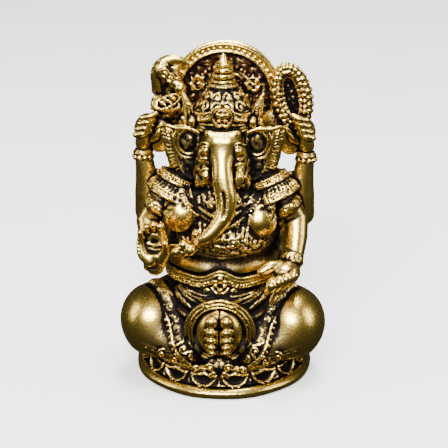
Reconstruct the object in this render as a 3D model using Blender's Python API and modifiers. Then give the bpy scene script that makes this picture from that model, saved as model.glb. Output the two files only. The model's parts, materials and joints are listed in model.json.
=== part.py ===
"""Seated four-armed elephant-headed deity, a pocket-size cast brass statuette.

The figure faces -Y, +Z is up, and the origin is the middle of the underside.
Every size below is in millimetres; MM turns it into Blender's metres.

A piece is a union of simple primitives. Where it meets a neighbour it is cut by the neighbour's own
primitives grown by SEAM, so each seat follows the piece that it fits, whatever size that piece has.
The figure's own right side is at -X.
"""
import math

import bmesh
import bpy
from mathutils import Matrix, Vector

MM = 0.001
SEAM = 0.3  # clearance between neighbouring pieces

# Pedestal
PLINTH_RADIUS = 12.2
PLINTH_HEIGHT = 1.3
PLINTH_EDGE = 0.35  # how far its edge is softened
LOTUS_RADIUS = 10.7  # of the drum behind the petals
LOTUS_HEIGHT = 2.5
PETAL_COUNT = 16
PETAL_DEPTH = 0.9  # how far a petal stands out of the drum

# Lower body
KNEE_SPREAD = 9.7  # middle of a knee from the middle of the figure
KNEE_WIDTH = 4.3  # radius of a knee, side to side
KNEE_DEPTH = 5.0
KNEE_HEIGHT = 4.6
FOOT_WIDTH = 1.75  # half of the sole pair on one side
FOOT_HEIGHT = 3.3
TOE_COUNT = 4
TOE_RADIUS = 0.72
HIP_WIDTH = 7.2
HIP_DEPTH = 6.2
HIP_HEIGHT = 6.2  # of the cloth that flares over the seat
THIGH_RADIUS = 4.3
SHIN_RADIUS = 2.4
HEM_RADIUS = 0.9
SASH_RADIUS = 0.55
BELT_RADIUS = 0.85

# Trunk of the body
TORSO_HEIGHT = 15.2  # seat to the middle of the belly
BELLY_WIDTH = 6.3
BELLY_DEPTH = 5.9
BELLY_HEIGHT = 4.5
CHEST_WIDTH = 6.2
BREAST_RADIUS = 2.2
SHOULDER_SPREAD = 6.0
SHOULDER_RADIUS = 2.8
CAPE_RADIUS = 3.7  # lower edge of the pleated cape on a shoulder
CAPE_TIER_HEIGHT = 2.4
COLLAR_RADIUS = 0.55

# Head
HEAD_WIDTH = 3.7
HEAD_DEPTH = 4.1
HEAD_HEIGHT = 4.1
TRUNK_RADIUS = 1.35
TUSK_RADIUS = 0.45
TUSK_LENGTH = 3.1
BROKEN_TUSK_LENGTH = 1.9
EAR_WIDTH = 2.7
EAR_HEIGHT = 3.9
EAR_THICKNESS = 0.85

# Crown and halo
CROWN_RADIUS = 3.7
CROWN_BAND_HEIGHT = 1.9
DOME_HEIGHT = 3.3
SPIRE_HEIGHT = 3.6
SPIRE_RADIUS = 1.25
SPIRE_RINGS = 3
FINIAL_HEIGHT = 0.9
HALO_RADIUS = 7.4
HALO_THICKNESS = 2.2
HALO_RIM_WIDTH = 0.8

# Arms
ARM_RADIUS = 1.45  # front pair
REAR_ARM_RADIUS = 1.15
REAR_ARM_SPREAD = 11.3
BANGLE_WIDTH = 0.8
BANGLE_STAND = 0.35  # how far a bangle stands out of its arm
FINGER_RADIUS = 0.42
# Steps from the shoulder to the elbow and to the wrist, outwards, to the back and up
ARM_REACH = {"right": ((3.2, -0.8, -4.0), (1.7, -4.4, -7.3)),
             "left": ((2.9, -0.2, -3.4), (2.2, -3.0, -6.9))}

# What the hands hold
AXE_RADIUS = 3.2
AXE_BLADE_WIDTH = 1.5
AXE_HORNS = (45, 228)  # degrees at which the crescent begins and ends
KNOB_RADIUS = 0.75
NOOSE_WIDTH = 3.3
NOOSE_HEIGHT = 5.1
NOOSE_ROPE_RADIUS = 1.0
SWEET_RADIUS = 1.0

# Levels that follow from the sizes above
LOTUS_BOTTOM = PLINTH_HEIGHT + SEAM
SEAT = LOTUS_BOTTOM + LOTUS_HEIGHT
BELLY_MIDDLE = SEAT + TORSO_HEIGHT
WAIST = BELLY_MIDDLE - 2.8
NECK = BELLY_MIDDLE + 7.7
HEAD_MIDDLE = NECK + 4.8
BAND_BOTTOM = HEAD_MIDDLE + HEAD_HEIGHT - 0.8
DOME_BOTTOM = BAND_BOTTOM + CROWN_BAND_HEIGHT + SEAM
SPIRE_BOTTOM = DOME_BOTTOM + DOME_HEIGHT + SEAM
HEAD_Y = -1.4
HALO_Y = 3.3
HALO_MIDDLE = HEAD_MIDDLE + 5.9
HELD_Y = 1.1  # depth of the rear hands and of what they hold
KNEE_MIDDLE = SEAT + KNEE_HEIGHT - 1.0
KNEE_Y = -3.4
SOLE_Y = -9.4
SOLE_MIDDLE = SEAT + FOOT_HEIGHT + 1.3
SHOULDER_LEVEL = NECK - 0.3
SHOULDER_Y = -0.4
CAPE_TURN = (-6, 14, 0)
AXE_MIDDLE = Vector((0.8 - HALO_RADIUS, HELD_Y, HALO_MIDDLE + 2.8))
NOOSE_MIDDLE = Vector((HALO_RADIUS + 1.5, HELD_Y, HALO_MIDDLE + 0.7))
NOOSE_TURN = (90, -12, 0)

BRASS = {
    "polished_brass": ((0.62, 0.44, 0.14), 0.28),
    "aged_brass": ((0.36, 0.25, 0.09), 0.42),
    "dark_patina": ((0.12, 0.075, 0.035), 0.55),
}


# ---------------------------------------------------------------- primitives

def ball(middle, radii, turn=(0, 0, 0)):
    """An ellipsoid; turn is its rotation about X, Y and Z in degrees."""
    return {"kind": "ball", "middle": middle, "radii": radii, "turn": turn}


def limb(points, radii):
    """A round bar of changing radius on a smooth path."""
    return {"kind": "limb", "points": points, "radii": radii}


def loop(middle, width, height, radius, turn=(0, 0, 0)):
    """An oval ring; width and height are its half axes in its own XY plane."""
    return {"kind": "loop", "middle": middle, "width": width, "height": height,
            "radius": radius, "turn": turn}


def turned(profile, middle=(0, 0, 0), turn=(0, 0, 0)):
    """A lathe body: (radius, height) pairs down its outer side, about its own Z."""
    return {"kind": "turned", "profile": profile, "middle": middle, "turn": turn}


def block(middle, half_sizes):
    """A box given by its middle and half sizes."""
    return {"kind": "block", "middle": middle, "half_sizes": half_sizes}


def mirrored(shape):
    """The same primitive on the other side of the figure."""
    flip = dict(shape)
    if "middle" in shape:
        x, y, z = shape["middle"]
        flip["middle"] = (-x, y, z)
    if "points" in shape:
        flip["points"] = [(-x, y, z) for x, y, z in shape["points"]]
    if "turn" in shape:
        rx, ry, rz = shape["turn"]
        flip["turn"] = (rx, -ry, -rz)
    return flip


def placement(shape):
    """World matrix of a primitive, in metres."""
    angles = [math.radians(angle) for angle in shape.get("turn", (0, 0, 0))]
    rotation = (Matrix.Rotation(angles[2], 4, "Z") @ Matrix.Rotation(angles[1], 4, "Y")
                @ Matrix.Rotation(angles[0], 4, "X"))
    return Matrix.Translation(Vector(shape["middle"]) * MM) @ rotation


def smooth_path(values, steps):
    """Catmull-Rom points through the given ones, steps for each span."""
    ends = [values[0] * 2 - values[1]] + values + [values[-1] * 2 - values[-2]]
    path = []
    for i in range(len(values) - 1):
        a, b, c, d = ends[i:i + 4]
        for step in range(steps):
            t = step / steps
            path.append(0.5 * (2 * b + (c - a) * t + (2 * a - 5 * b + 4 * c - d) * t ** 2
                               + (3 * b - a - 3 * c + d) * t ** 3))
    return path + [values[-1]]


def mesh_object(name, maker):
    """An object whose mesh the given function fills through bmesh."""
    mesh = bpy.data.meshes.new(name)
    model = bmesh.new()
    maker(model)
    model.to_mesh(mesh)
    model.free()
    return bpy.data.objects.new(name, mesh)


def ball_object(shape, grow):
    """Ellipsoid with as many segments as its size needs."""
    largest = max(shape["radii"])
    around = 16 if largest > 4 else 12 if largest > 2 else 8
    scale = [(radius + grow) * MM for radius in shape["radii"]]

    def fill(model):
        bmesh.ops.create_uvsphere(model, u_segments=around, v_segments=around // 2, radius=1.0)
        bmesh.ops.scale(model, vec=scale, verts=model.verts)
        bmesh.ops.transform(model, matrix=placement(shape), verts=model.verts)

    return mesh_object("ball", fill)


def block_object(shape, grow):
    """Box grown on every side."""
    scale = [2 * (half + grow) * MM for half in shape["half_sizes"]]

    def fill(model):
        bmesh.ops.create_cube(model, size=1.0)
        bmesh.ops.scale(model, vec=scale, verts=model.verts)
        bmesh.ops.transform(model, matrix=placement(shape), verts=model.verts)

    return mesh_object("block", fill)


def curve_object(points, radii, closed):
    """A tube through the points, made a mesh with welded caps."""
    data = bpy.data.curves.new("tube", "CURVE")
    data.dimensions = "3D"
    data.bevel_depth = MM
    data.bevel_resolution = 3 if max(radii) > 2 else 2 if max(radii) > 1 else 1
    data.use_fill_caps = not closed
    spline = data.splines.new("POLY")
    spline.points.add(len(points) - 1)
    spline.use_cyclic_u = closed
    for point, place, radius in zip(spline.points, points, radii):
        point.co = (*(place * MM), 1)
        point.radius = radius
    tube = bpy.data.objects.new("tube", data)
    bpy.context.scene.collection.objects.link(tube)
    bpy.context.view_layer.update()
    evaluated = tube.evaluated_get(bpy.context.evaluated_depsgraph_get())
    mesh = bpy.data.meshes.new_from_object(evaluated)
    bpy.data.objects.remove(tube)
    model = bmesh.new()
    model.from_mesh(mesh)
    bmesh.ops.remove_doubles(model, verts=model.verts, dist=1e-6)
    bmesh.ops.recalc_face_normals(model, faces=model.faces)
    model.to_mesh(mesh)
    model.free()
    return bpy.data.objects.new("tube", mesh)


def limb_object(shape, grow):
    """Round bar, its two ends grown along its path as well."""
    steps = 2 if len(shape["points"]) > 2 else 1
    path = smooth_path([Vector(point) for point in shape["points"]], steps)
    radii = smooth_path([Vector((radius, 0, 0)) for radius in shape["radii"]], steps)
    first = (path[0] - path[1]).normalized()
    last = (path[-1] - path[-2]).normalized()
    path[0] = path[0] + first * grow
    path[-1] = path[-1] + last * grow
    return curve_object(path, [radius.x + grow for radius in radii], closed=False)


def loop_object(shape, grow):
    """Oval ring of a round bar."""
    count = 20
    turn = placement(shape).to_3x3()
    middle = Vector(shape["middle"])
    path = []
    for i in range(count):
        angle = math.tau * i / count
        flat = Vector((shape["width"] * math.cos(angle), shape["height"] * math.sin(angle), 0))
        path.append(middle + turn @ flat)
    return curve_object(path, [shape["radius"] + grow] * count, closed=True)


def turned_object(shape, grow):
    """Lathe body from a Screw modifier on its profile."""
    heights = [height for _, height in shape["profile"]]
    top, bottom = max(heights), min(heights)
    rim = []
    for radius, height in shape["profile"]:
        height += grow if height == top else -grow if height == bottom else 0
        rim.append(((radius + grow) * MM, height * MM))
    outline = [(0, rim[0][1])] + rim + [(0, rim[-1][1])]
    mesh = bpy.data.meshes.new("turned")
    edges = [(i, i + 1) for i in range(len(outline) - 1)]
    mesh.from_pydata([(radius, 0, height) for radius, height in outline], edges, [])
    body = bpy.data.objects.new("turned", mesh)
    screw = body.modifiers.new("Screw", "SCREW")
    screw.steps = screw.render_steps = 32 if max(radius for radius, _ in rim) > 6 * MM else 16
    screw.use_merge_vertices = True
    screw.merge_threshold = 1e-6
    made = applied(body)
    made.matrix_world = placement(shape)
    return made


OBJECT_OF = {"ball": ball_object, "block": block_object, "limb": limb_object,
             "loop": loop_object, "turned": turned_object}


# ---------------------------------------------------------------- building a piece

def applied(body):
    """The object with its modifiers applied, as a plain mesh in the scene."""
    if not body.users_collection:
        bpy.context.scene.collection.objects.link(body)
    bpy.context.view_layer.update()
    evaluated = body.evaluated_get(bpy.context.evaluated_depsgraph_get())
    mesh = bpy.data.meshes.new_from_object(evaluated)
    made = bpy.data.objects.new(body.name, mesh)
    made.matrix_world = body.matrix_world
    bpy.context.scene.collection.objects.link(made)
    bpy.data.objects.remove(body)
    return made


def combine(body, shape, operation, grow=0.0):
    """Body after one exact Boolean with a primitive."""
    tool = OBJECT_OF[shape["kind"]](shape, grow)
    if not tool.users_collection:
        bpy.context.scene.collection.objects.link(tool)
    modifier = body.modifiers.new(operation.title(), "BOOLEAN")
    modifier.operation = operation
    modifier.solver = "EXACT"
    modifier.object = tool
    made = applied(body)
    bpy.data.objects.remove(tool)
    return made


def keep_largest(body):
    """Drops the crumbs that a cut leaves beside the main body."""
    model = bmesh.new()
    model.from_mesh(body.data)
    left, islands = set(model.verts), []
    while left:
        stack, island = [left.pop()], []
        while stack:
            vert = stack.pop()
            island.append(vert)
            for edge in vert.link_edges:
                other = edge.other_vert(vert)
                if other in left:
                    left.remove(other)
                    stack.append(other)
        islands.append(island)
    islands.sort(key=len)
    crumbs = [vert for island in islands[:-1] for vert in island]
    bmesh.ops.delete(model, geom=crumbs, context="VERTS")
    model.to_mesh(body.data)
    model.free()


def piece(name, shapes, seats=(), hollows=(), finish="aged_brass"):
    """One named solid: its shapes joined, less its neighbours' seats and its own hollows."""
    first, *rest = shapes
    body = OBJECT_OF[first["kind"]](first, 0.0)
    if not body.users_collection:
        bpy.context.scene.collection.objects.link(body)
    for shape in rest:
        body = combine(body, shape, "UNION")
    for shape in seats:
        body = combine(body, shape, "DIFFERENCE", SEAM)
    for shape in hollows:
        body = combine(body, shape, "DIFFERENCE")
    keep_largest(body)
    body.name = body.data.name = name
    body.data.materials.clear()
    body.data.materials.append(bpy.data.materials[finish])
    body.data.shade_smooth()
    body.data.set_sharp_from_angle(angle=math.radians(40))
    for collection in list(body.users_collection):
        collection.objects.unlink(body)
    bpy.data.collections["seated_deity"].objects.link(body)
    return body


def pair(name, shapes, seats=(), hollows=(), finish="aged_brass"):
    """A right piece at -X and its mirror image at +X."""
    piece("right_" + name, shapes, seats, hollows, finish)
    piece("left_" + name, flipped(shapes), flipped(seats), flipped(hollows), finish)


def flipped(shapes):
    """The shapes on the other side of the figure."""
    return [mirrored(shape) for shape in shapes]


def both(shapes):
    """The shapes of both sides together."""
    return list(shapes) + flipped(shapes)


# ---------------------------------------------------------------- shapes of the figure

def plinth_shapes():
    """Round plinth with a softened edge."""
    return [turned([(PLINTH_RADIUS - PLINTH_EDGE, PLINTH_HEIGHT),
                    (PLINTH_RADIUS, PLINTH_HEIGHT - PLINTH_EDGE),
                    (PLINTH_RADIUS, PLINTH_EDGE),
                    (PLINTH_RADIUS - PLINTH_EDGE, 0)])]


def drum_shapes():
    """Drum of the lotus seat, narrower at its top."""
    return [turned([(LOTUS_RADIUS - 0.4, SEAT), (LOTUS_RADIUS, SEAT - 0.6),
                    (LOTUS_RADIUS + 0.3, LOTUS_BOTTOM)])]


def petal_shapes():
    """Ring of petals, each a flattened ball that stands on the drum."""
    petals = []
    half_width = math.pi * LOTUS_RADIUS / PETAL_COUNT * 0.84
    for i in range(PETAL_COUNT):
        angle = math.tau * (i + 0.5) / PETAL_COUNT - math.pi / 2
        middle = ((LOTUS_RADIUS + 0.1) * math.cos(angle), (LOTUS_RADIUS + 0.1) * math.sin(angle),
                  LOTUS_BOTTOM + 0.48 * LOTUS_HEIGHT)
        radii = (PETAL_DEPTH, half_width, 0.46 * LOTUS_HEIGHT)
        petals.append(ball(middle, radii, (0, 0, math.degrees(angle))))
    return petals


def seat_shapes():
    """Everything the figure sits on."""
    return plinth_shapes() + drum_shapes() + petal_shapes()


def torso_shapes():
    """Belly, chest, breasts and the balls of the shoulders."""
    shoulder = ball((-SHOULDER_SPREAD, SHOULDER_Y, SHOULDER_LEVEL - 0.6), (SHOULDER_RADIUS,) * 3)
    breast = ball((-CHEST_WIDTH + 1.1, -4.2, BELLY_MIDDLE + 3.8),
                  (BREAST_RADIUS, BREAST_RADIUS, BREAST_RADIUS))
    return [ball((0, -1.6, BELLY_MIDDLE), (BELLY_WIDTH, BELLY_DEPTH, BELLY_HEIGHT)),
            ball((0, -0.5, BELLY_MIDDLE + 4.9), (CHEST_WIDTH, 4.4, 4.3)),
            ] + both([shoulder, breast])


def hip_shapes():
    """Pelvis and the lower back inside the wrapped cloth."""
    half = (WAIST - SEAT) / 2
    return [ball((0, 0.2, SEAT + half), (HIP_WIDTH, HIP_DEPTH, half)),
            turned([(HIP_WIDTH - 0.2, SEAT + 0.7 * HIP_HEIGHT), (HIP_WIDTH + 1.0, SEAT + SEAM)],
                   (0, 1.4, 0))]


def leg_shapes():
    """Folded leg: knee, thigh and shin."""
    knee = (-KNEE_SPREAD, KNEE_Y, KNEE_MIDDLE)
    return [ball(knee, (KNEE_WIDTH, KNEE_DEPTH, KNEE_HEIGHT)),
            limb([(-4.4, 0.2, SEAT + 1.3 * THIGH_RADIUS), (-KNEE_SPREAD, KNEE_Y, KNEE_MIDDLE + 0.8)],
                 [THIGH_RADIUS, THIGH_RADIUS * 0.9]),
            limb([(-KNEE_SPREAD, KNEE_Y - 2.4, KNEE_MIDDLE - 1.2), (-5.6, -7.4, KNEE_MIDDLE - 1.4),
                  (-3.2, -7.9, KNEE_MIDDLE - 1.0)],
                 [SHIN_RADIUS, SHIN_RADIUS * 0.95, SHIN_RADIUS * 0.8])]


def lap_shapes():
    """Cloth spread over the lap, behind the feet."""
    return [ball((0, -4.3, SOLE_MIDDLE - 0.6), (8.2, 5.2, 6.3))]


def foot_shapes():
    """One sole of the joined pair, with its toes in a column beside the middle."""
    shapes = [ball((-FOOT_WIDTH, SOLE_Y, SOLE_MIDDLE), (FOOT_WIDTH + 0.1, 1.5, FOOT_HEIGHT))]
    for i in range(TOE_COUNT):
        size = TOE_RADIUS - 0.09 * i
        level = SOLE_MIDDLE + FOOT_HEIGHT * (0.62 - 0.42 * i)
        shapes.append(ball((-TOE_RADIUS - 0.25, SOLE_Y - 1.35, level), (size, size, size)))
    return shapes


def middle_gap():
    """Thin space kept between the halves of a pair that meets in the middle."""
    return [block((0, SOLE_Y, SOLE_MIDDLE), (0, 5, 2 * FOOT_HEIGHT + 2))]


def foot_frame_shapes():
    """Oval hem that frames the feet."""
    return [loop((0, SOLE_Y, SOLE_MIDDLE - 0.2), 2 * FOOT_WIDTH + 1.2, FOOT_HEIGHT + 1.0,
                 0.6, (90, 0, 0))]


def hem_shapes():
    """Ornamental edge of the cloth, from the thigh to the middle of the seat."""
    return [limb([(-8.9, -6.2, SEAT + 8.2), (-7.3, -8.3, SEAT + 5.4), (-5.9, -9.3, SEAT + 3.0),
                  (-4.1, -9.9, SEAT + 1.3), (0, -10.3, SEAT + 0.1)],
                 [HEM_RADIUS * 0.8, HEM_RADIUS, HEM_RADIUS, HEM_RADIUS, HEM_RADIUS])]


def swag_shapes():
    """Loop of the sash that hangs from the belt."""
    return [limb([(-6.9, -5.4, SEAT + 10.6), (-5.2, -7.4, SEAT + 9.0), (-2.5, -8.6, SEAT + 8.4)],
                 [SASH_RADIUS, SASH_RADIUS, SASH_RADIUS])]


def belt_shapes():
    """Oval belt round the hips."""
    return [loop((0, -1.6, BELLY_MIDDLE - 3.0), BELLY_WIDTH + 0.3, BELLY_DEPTH, BELT_RADIUS,
                 (-6, 0, 0))]


def clasp_shapes():
    """Mask-shaped clasp in the middle of the belt."""
    return [ball((0, -7.7, BELLY_MIDDLE - 4.0), (1.8, 1.3, 1.7))]


def head_shapes():
    """Skull, brow, cheeks and jaw."""
    cheek = ball((-2.3, HEAD_Y - 1.6, HEAD_MIDDLE - 3.3), (1.7, 2.2, 2.6))
    brow = ball((-1.35, HEAD_Y - 2.6, HEAD_MIDDLE + 2.0), (1.5, 1.5, 1.6))
    return [ball((0, HEAD_Y, HEAD_MIDDLE), (HEAD_WIDTH, HEAD_DEPTH, HEAD_HEIGHT)),
            ball((0, HEAD_Y - 2.0, HEAD_MIDDLE - 2.6), (2.6, 2.5, 3.3)),
            ball((0, HEAD_Y + 0.6, HEAD_MIDDLE - 3.6), (2.8, 2.6, 2.6)),
            ] + both([cheek, brow])


def proboscis_shapes():
    """Elephant's trunk, curled to the figure's right."""
    path = [(0, -3.4, 1.3), (0.1, -5.1, -0.6), (0.3, -6.2, -2.7), (0.7, -7.0, -5.0),
            (0.4, -7.4, -6.9), (-0.7, -7.9, -8.2), (-2.1, -8.2, -9.2), (-3.2, -8.3, -9.4)]
    shares = (1.3, 1.1, 1.0, 0.97, 0.92, 0.85, 0.68, 0.55)
    return [limb([(x, HEAD_Y + y, HEAD_MIDDLE + z) for x, y, z in path],
                 [TRUNK_RADIUS * share for share in shares])]


def tusk_shapes(length, tip_share):
    """Tusk beside the trunk, at the figure's right; tip_share tells a point from a stump."""
    start = Vector((-1.95, HEAD_Y - 3.4, HEAD_MIDDLE - 1.1))
    tip = start + Vector((0.05, -0.42, -0.9)) * length
    return [limb([tuple(start), tuple((start + tip) / 2), tuple(tip)],
                 [TUSK_RADIUS, TUSK_RADIUS * 0.95, TUSK_RADIUS * tip_share])]


def ear_shapes():
    """Wide upright ear with a narrower lobe."""
    return [ball((-HEAD_WIDTH - 1.9, HEAD_Y - 0.9, HEAD_MIDDLE + 0.7),
                 (EAR_WIDTH, EAR_THICKNESS, EAR_HEIGHT * 0.85), (0, -8, 12)),
            ball((-HEAD_WIDTH - 1.2, HEAD_Y - 1.0, HEAD_MIDDLE - 1.3),
                 (EAR_WIDTH * 0.68, EAR_THICKNESS * 0.9, EAR_HEIGHT * 0.65), (0, -14, 12))]


def ear_dish():
    """Hollow of the ear, open to the front."""
    return [ball((-HEAD_WIDTH - 1.9, HEAD_Y - 2.1, HEAD_MIDDLE + 0.9),
                 (EAR_WIDTH * 0.62, EAR_THICKNESS, EAR_HEIGHT * 0.6), (0, -8, 12))]


def band_shapes():
    """Diadem round the brow."""
    return [turned([(CROWN_RADIUS - 0.1, BAND_BOTTOM + CROWN_BAND_HEIGHT),
                    (CROWN_RADIUS + 0.2, BAND_BOTTOM + CROWN_BAND_HEIGHT * 0.6),
                    (CROWN_RADIUS, BAND_BOTTOM)], (0, HEAD_Y, 0))]


def dome_shapes():
    """Bell of the crown."""
    profile = []
    for i in range(6):
        share = i / 5
        swell = (CROWN_RADIUS - SPIRE_RADIUS - 0.5) * math.sin(share * math.pi / 2)
        profile.append((SPIRE_RADIUS + 0.35 + swell, DOME_BOTTOM + DOME_HEIGHT * (1 - share)))
    return [turned(profile, (0, HEAD_Y, 0))]


def spire_shapes():
    """Stack of rings under the finial."""
    pitch = (SPIRE_HEIGHT - FINIAL_HEIGHT) / SPIRE_RINGS
    ring_top = SPIRE_BOTTOM + SPIRE_HEIGHT - FINIAL_HEIGHT
    profile = [(0.3, ring_top + FINIAL_HEIGHT), (0.55, ring_top + 0.3 * FINIAL_HEIGHT)]
    for i in range(SPIRE_RINGS):
        radius = SPIRE_RADIUS * (0.62 + 0.38 * (i + 1) / SPIRE_RINGS)
        top = ring_top - i * pitch
        profile += [(radius * 0.8, top), (radius, top - 0.35 * pitch), (radius, top - 0.7 * pitch)]
    profile.append((SPIRE_RADIUS * 0.9, SPIRE_BOTTOM))
    return [turned(profile, (0, HEAD_Y, 0))]


def crest_shapes():
    """Ornament on the front of the diadem."""
    return [ball((0, HEAD_Y - CROWN_RADIUS - 0.25, BAND_BOTTOM + 1.75), (1.6, 0.75, 1.75))]


def wing_shapes():
    """Flaring leaf at the side of the crown."""
    return [ball((-CROWN_RADIUS - 0.55, HEAD_Y - 0.7, BAND_BOTTOM + 2.2), (0.75, 0.8, 2.5),
                 (0, -24, 0))]


def halo_disc(radius, half_thickness):
    """Upright disc behind the head."""
    return [turned([(radius, half_thickness), (radius, -half_thickness)],
                   (0, HALO_Y, HALO_MIDDLE), (90, 0, 0))]


def halo_rim_shapes():
    """Outer disc, of which only the rim is kept."""
    return halo_disc(HALO_RADIUS, HALO_THICKNESS / 2 + 0.1)


def upper_cape_shapes():
    """Upper tier of the pleated shoulder cape."""
    return cape_tier(0.42, 0.76, 1.5 * CAPE_TIER_HEIGHT)


def lower_cape_shapes():
    """Lower tier, wider than the upper one."""
    return cape_tier(0.66, 1.0, 0.5 * CAPE_TIER_HEIGHT - SEAM)


def cape_tier(top_share, bottom_share, top):
    """Flared ring of the cape, hung on the ball of the shoulder."""
    pivot = Vector((-SHOULDER_SPREAD - 0.6, SHOULDER_Y - 1.2, SHOULDER_LEVEL))
    return [turned([(CAPE_RADIUS * top_share, top), (CAPE_RADIUS * bottom_share, top - CAPE_TIER_HEIGHT)],
                   tuple(pivot), CAPE_TURN)]


def necklace_shapes():
    """Collar that hangs from the shoulders in front of the chest."""
    side = [(-4.6, -3.2, NECK + 0.2), (-3.7, -4.6, NECK - 2.0), (-1.9, -5.1, NECK - 3.6)]
    middle = [(0, -5.3, NECK - 4.2)]
    other = [(-x, y, z) for x, y, z in reversed(side)]
    return [limb(side + middle + other, [COLLAR_RADIUS] * 7)]


def arm_points(side):
    """Shoulder, elbow and wrist of a front arm; the right one is raised, the left one rests."""
    sign = -1 if side == "right" else 1
    shoulder = Vector((sign * (SHOULDER_SPREAD + 1.3), SHOULDER_Y - 1.8, SHOULDER_LEVEL - 1.4))
    elbow, wrist = (Vector(offset) for offset in ARM_REACH[side])
    elbow.x *= sign
    wrist.x *= sign
    return shoulder, shoulder + elbow, shoulder + wrist


def upper_arm_shapes(side):
    """Bar from the cape to the elbow."""
    shoulder, elbow, _ = arm_points(side)
    return [limb([tuple(shoulder), tuple((shoulder + elbow) / 2), tuple(elbow)],
                 [ARM_RADIUS, ARM_RADIUS * 1.05, ARM_RADIUS])]


def forearm_shapes(side):
    """Bar from the elbow to the bangle."""
    _, elbow, wrist = arm_points(side)
    return [limb([tuple(elbow), tuple((elbow + wrist) / 2), tuple(wrist)],
                 [ARM_RADIUS, ARM_RADIUS, ARM_RADIUS * 0.85])]


def bangle_on(start, direction, radius):
    """Short thick ring in line with an arm, as a solid disc past the end of that arm."""
    near = start + direction.normalized() * SEAM
    far = near + direction.normalized() * BANGLE_WIDTH
    wide = radius + BANGLE_STAND
    return [limb([tuple(near), tuple((near + far) / 2), tuple(far)], [wide, wide, wide])]


def bangle_shapes(side):
    """Bangle of a front arm."""
    _, elbow, wrist = arm_points(side)
    return bangle_on(wrist, wrist - elbow, ARM_RADIUS * 0.85)


def hand_start(side):
    """Where a front hand begins, one seam past its bangle."""
    _, elbow, wrist = arm_points(side)
    return wrist + (wrist - elbow).normalized() * (2 * SEAM + BANGLE_WIDTH)


def finger(root, bend, tip, thickness=1.0):
    """Finger through three points, thinner at its tip."""
    return limb([tuple(root), tuple(bend), tuple(tip)],
                [FINGER_RADIUS * thickness, FINGER_RADIUS * thickness, FINGER_RADIUS * 0.9])


def raised_hand_shapes():
    """Open right palm turned to the front, with curled fingers and a thumb."""
    wrist = hand_start("right")
    palm = wrist + Vector((0.4, -0.5, 2.2))
    shapes = [ball(tuple(palm), (2.4, 1.0, 2.4)),
              limb([tuple(wrist), tuple(palm + Vector((0, 0, -1.2)))], [1.1, 1.1])]
    for i in range(4):
        side = (i - 1.5) * 1.05
        reach = 2.9 - 0.2 * (i - 1.6) ** 2
        shapes.append(finger(palm + Vector((side * 0.85, 0, 1.2)),
                             palm + Vector((side * 1.05, 0, reach)),
                             palm + Vector((side * 1.05, -0.9, reach + 0.1)), 1.15))
    shapes.append(finger(palm + Vector((1.3, -0.2, -0.6)), palm + Vector((2.1, -0.8, 0.4)),
                         palm + Vector((2.2, -1.4, 1.2)), 1.5))
    return shapes


def resting_palm():
    """Middle of the left palm, above the left thigh."""
    return hand_start("left") + Vector((-0.5, -1.0, -0.7))


def resting_hand_shapes():
    """Left hand closed on the broken tusk."""
    palm = resting_palm()
    shapes = [ball(tuple(palm), (1.9, 1.6, 1.2), (0, 20, 25)),
              limb([tuple(hand_start("left")), tuple(palm)], [1.0, 1.2])]
    for i in range(4):
        root = palm + Vector((1.1 - 0.85 * i, -0.5 - 0.2 * i, 0.1 - 0.15 * i))
        shapes.append(finger(root, root + Vector((-0.25, -1.3, -0.2)),
                             root + Vector((-0.2, -1.5, -1.1)), 1.25))
    shapes.append(finger(palm + Vector((-1.1, 0.2, 0.1)), palm + Vector((-1.8, -0.4, 0)),
                         palm + Vector((-2.3, -1.1, -0.3)), 1.35))
    return shapes


def broken_tusk_shapes():
    """Tusk held by the left hand, point down."""
    path = [(-0.6, -0.7, -0.4), (-1.3, -1.3, -1.9), (-2.1, -1.6, -3.5)]
    return [limb([tuple(resting_palm() + Vector(step)) for step in path], [0.5, 0.5, 0.28])]


def rear_points():
    """Shoulder, elbow and wrist of the raised right rear arm."""
    shoulder = Vector((-SHOULDER_SPREAD - 0.6, 1.2, SHOULDER_LEVEL - 1.2))
    elbow = Vector((-REAR_ARM_SPREAD, HELD_Y - 0.2, SHOULDER_LEVEL - 5.0))
    wrist = Vector((-REAR_ARM_SPREAD, HELD_Y - 0.2, SHOULDER_LEVEL + 3.6))
    return shoulder, elbow, wrist


def rear_upper_arm_shapes():
    """Bar from the back of the shoulder down to the elbow."""
    shoulder, elbow, _ = rear_points()
    middle = (shoulder + elbow) / 2 + Vector((0, 0, -0.4))
    return [limb([tuple(shoulder), tuple(middle), tuple(elbow)],
                 [REAR_ARM_RADIUS * 1.15, REAR_ARM_RADIUS * 1.1, REAR_ARM_RADIUS])]


def rear_forearm_shapes():
    """Upright bar from the elbow to the bangle."""
    _, elbow, wrist = rear_points()
    middle = (elbow + wrist) / 2 + Vector((-0.45, 0, 0))
    return [limb([tuple(elbow), tuple(middle), tuple(wrist)],
                 [REAR_ARM_RADIUS * 1.05, REAR_ARM_RADIUS * 1.1, REAR_ARM_RADIUS * 0.95])]


def rear_bangle_shapes():
    """Bangle at the top of the rear forearm."""
    return bangle_on(rear_points()[2], Vector((0, 0, 1)), REAR_ARM_RADIUS * 0.95)


def rear_hand_shapes():
    """Fist that leans inwards, round the grip of what it holds."""
    start = rear_points()[2] + Vector((0, 0, 2 * SEAM + BANGLE_WIDTH))
    palm = start + Vector((0.9, -0.1, 2.0))
    shapes = [limb([tuple(start), tuple(palm)], [0.85, 1.15]),
              ball(tuple(palm), (1.7, 1.2, 2.3), (0, 20, 0))]
    for i in range(4):
        root = palm + Vector((-1.1 + 0.3 * i, -0.6, -0.8 + 0.85 * i))
        shapes.append(finger(root, root + Vector((0.5, -0.5, 0.1)), root + Vector((1.5, -0.4, 0.4)),
                             1.1))
    return shapes


def cup_middle():
    """Middle of the cup, between the palm of the right rear hand and the axe."""
    palm = 0.9 - REAR_ARM_SPREAD
    return Vector(((palm + AXE_MIDDLE.x) / 2 + 0.7, HELD_Y - 0.1, AXE_MIDDLE.z - 3.6))


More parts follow.
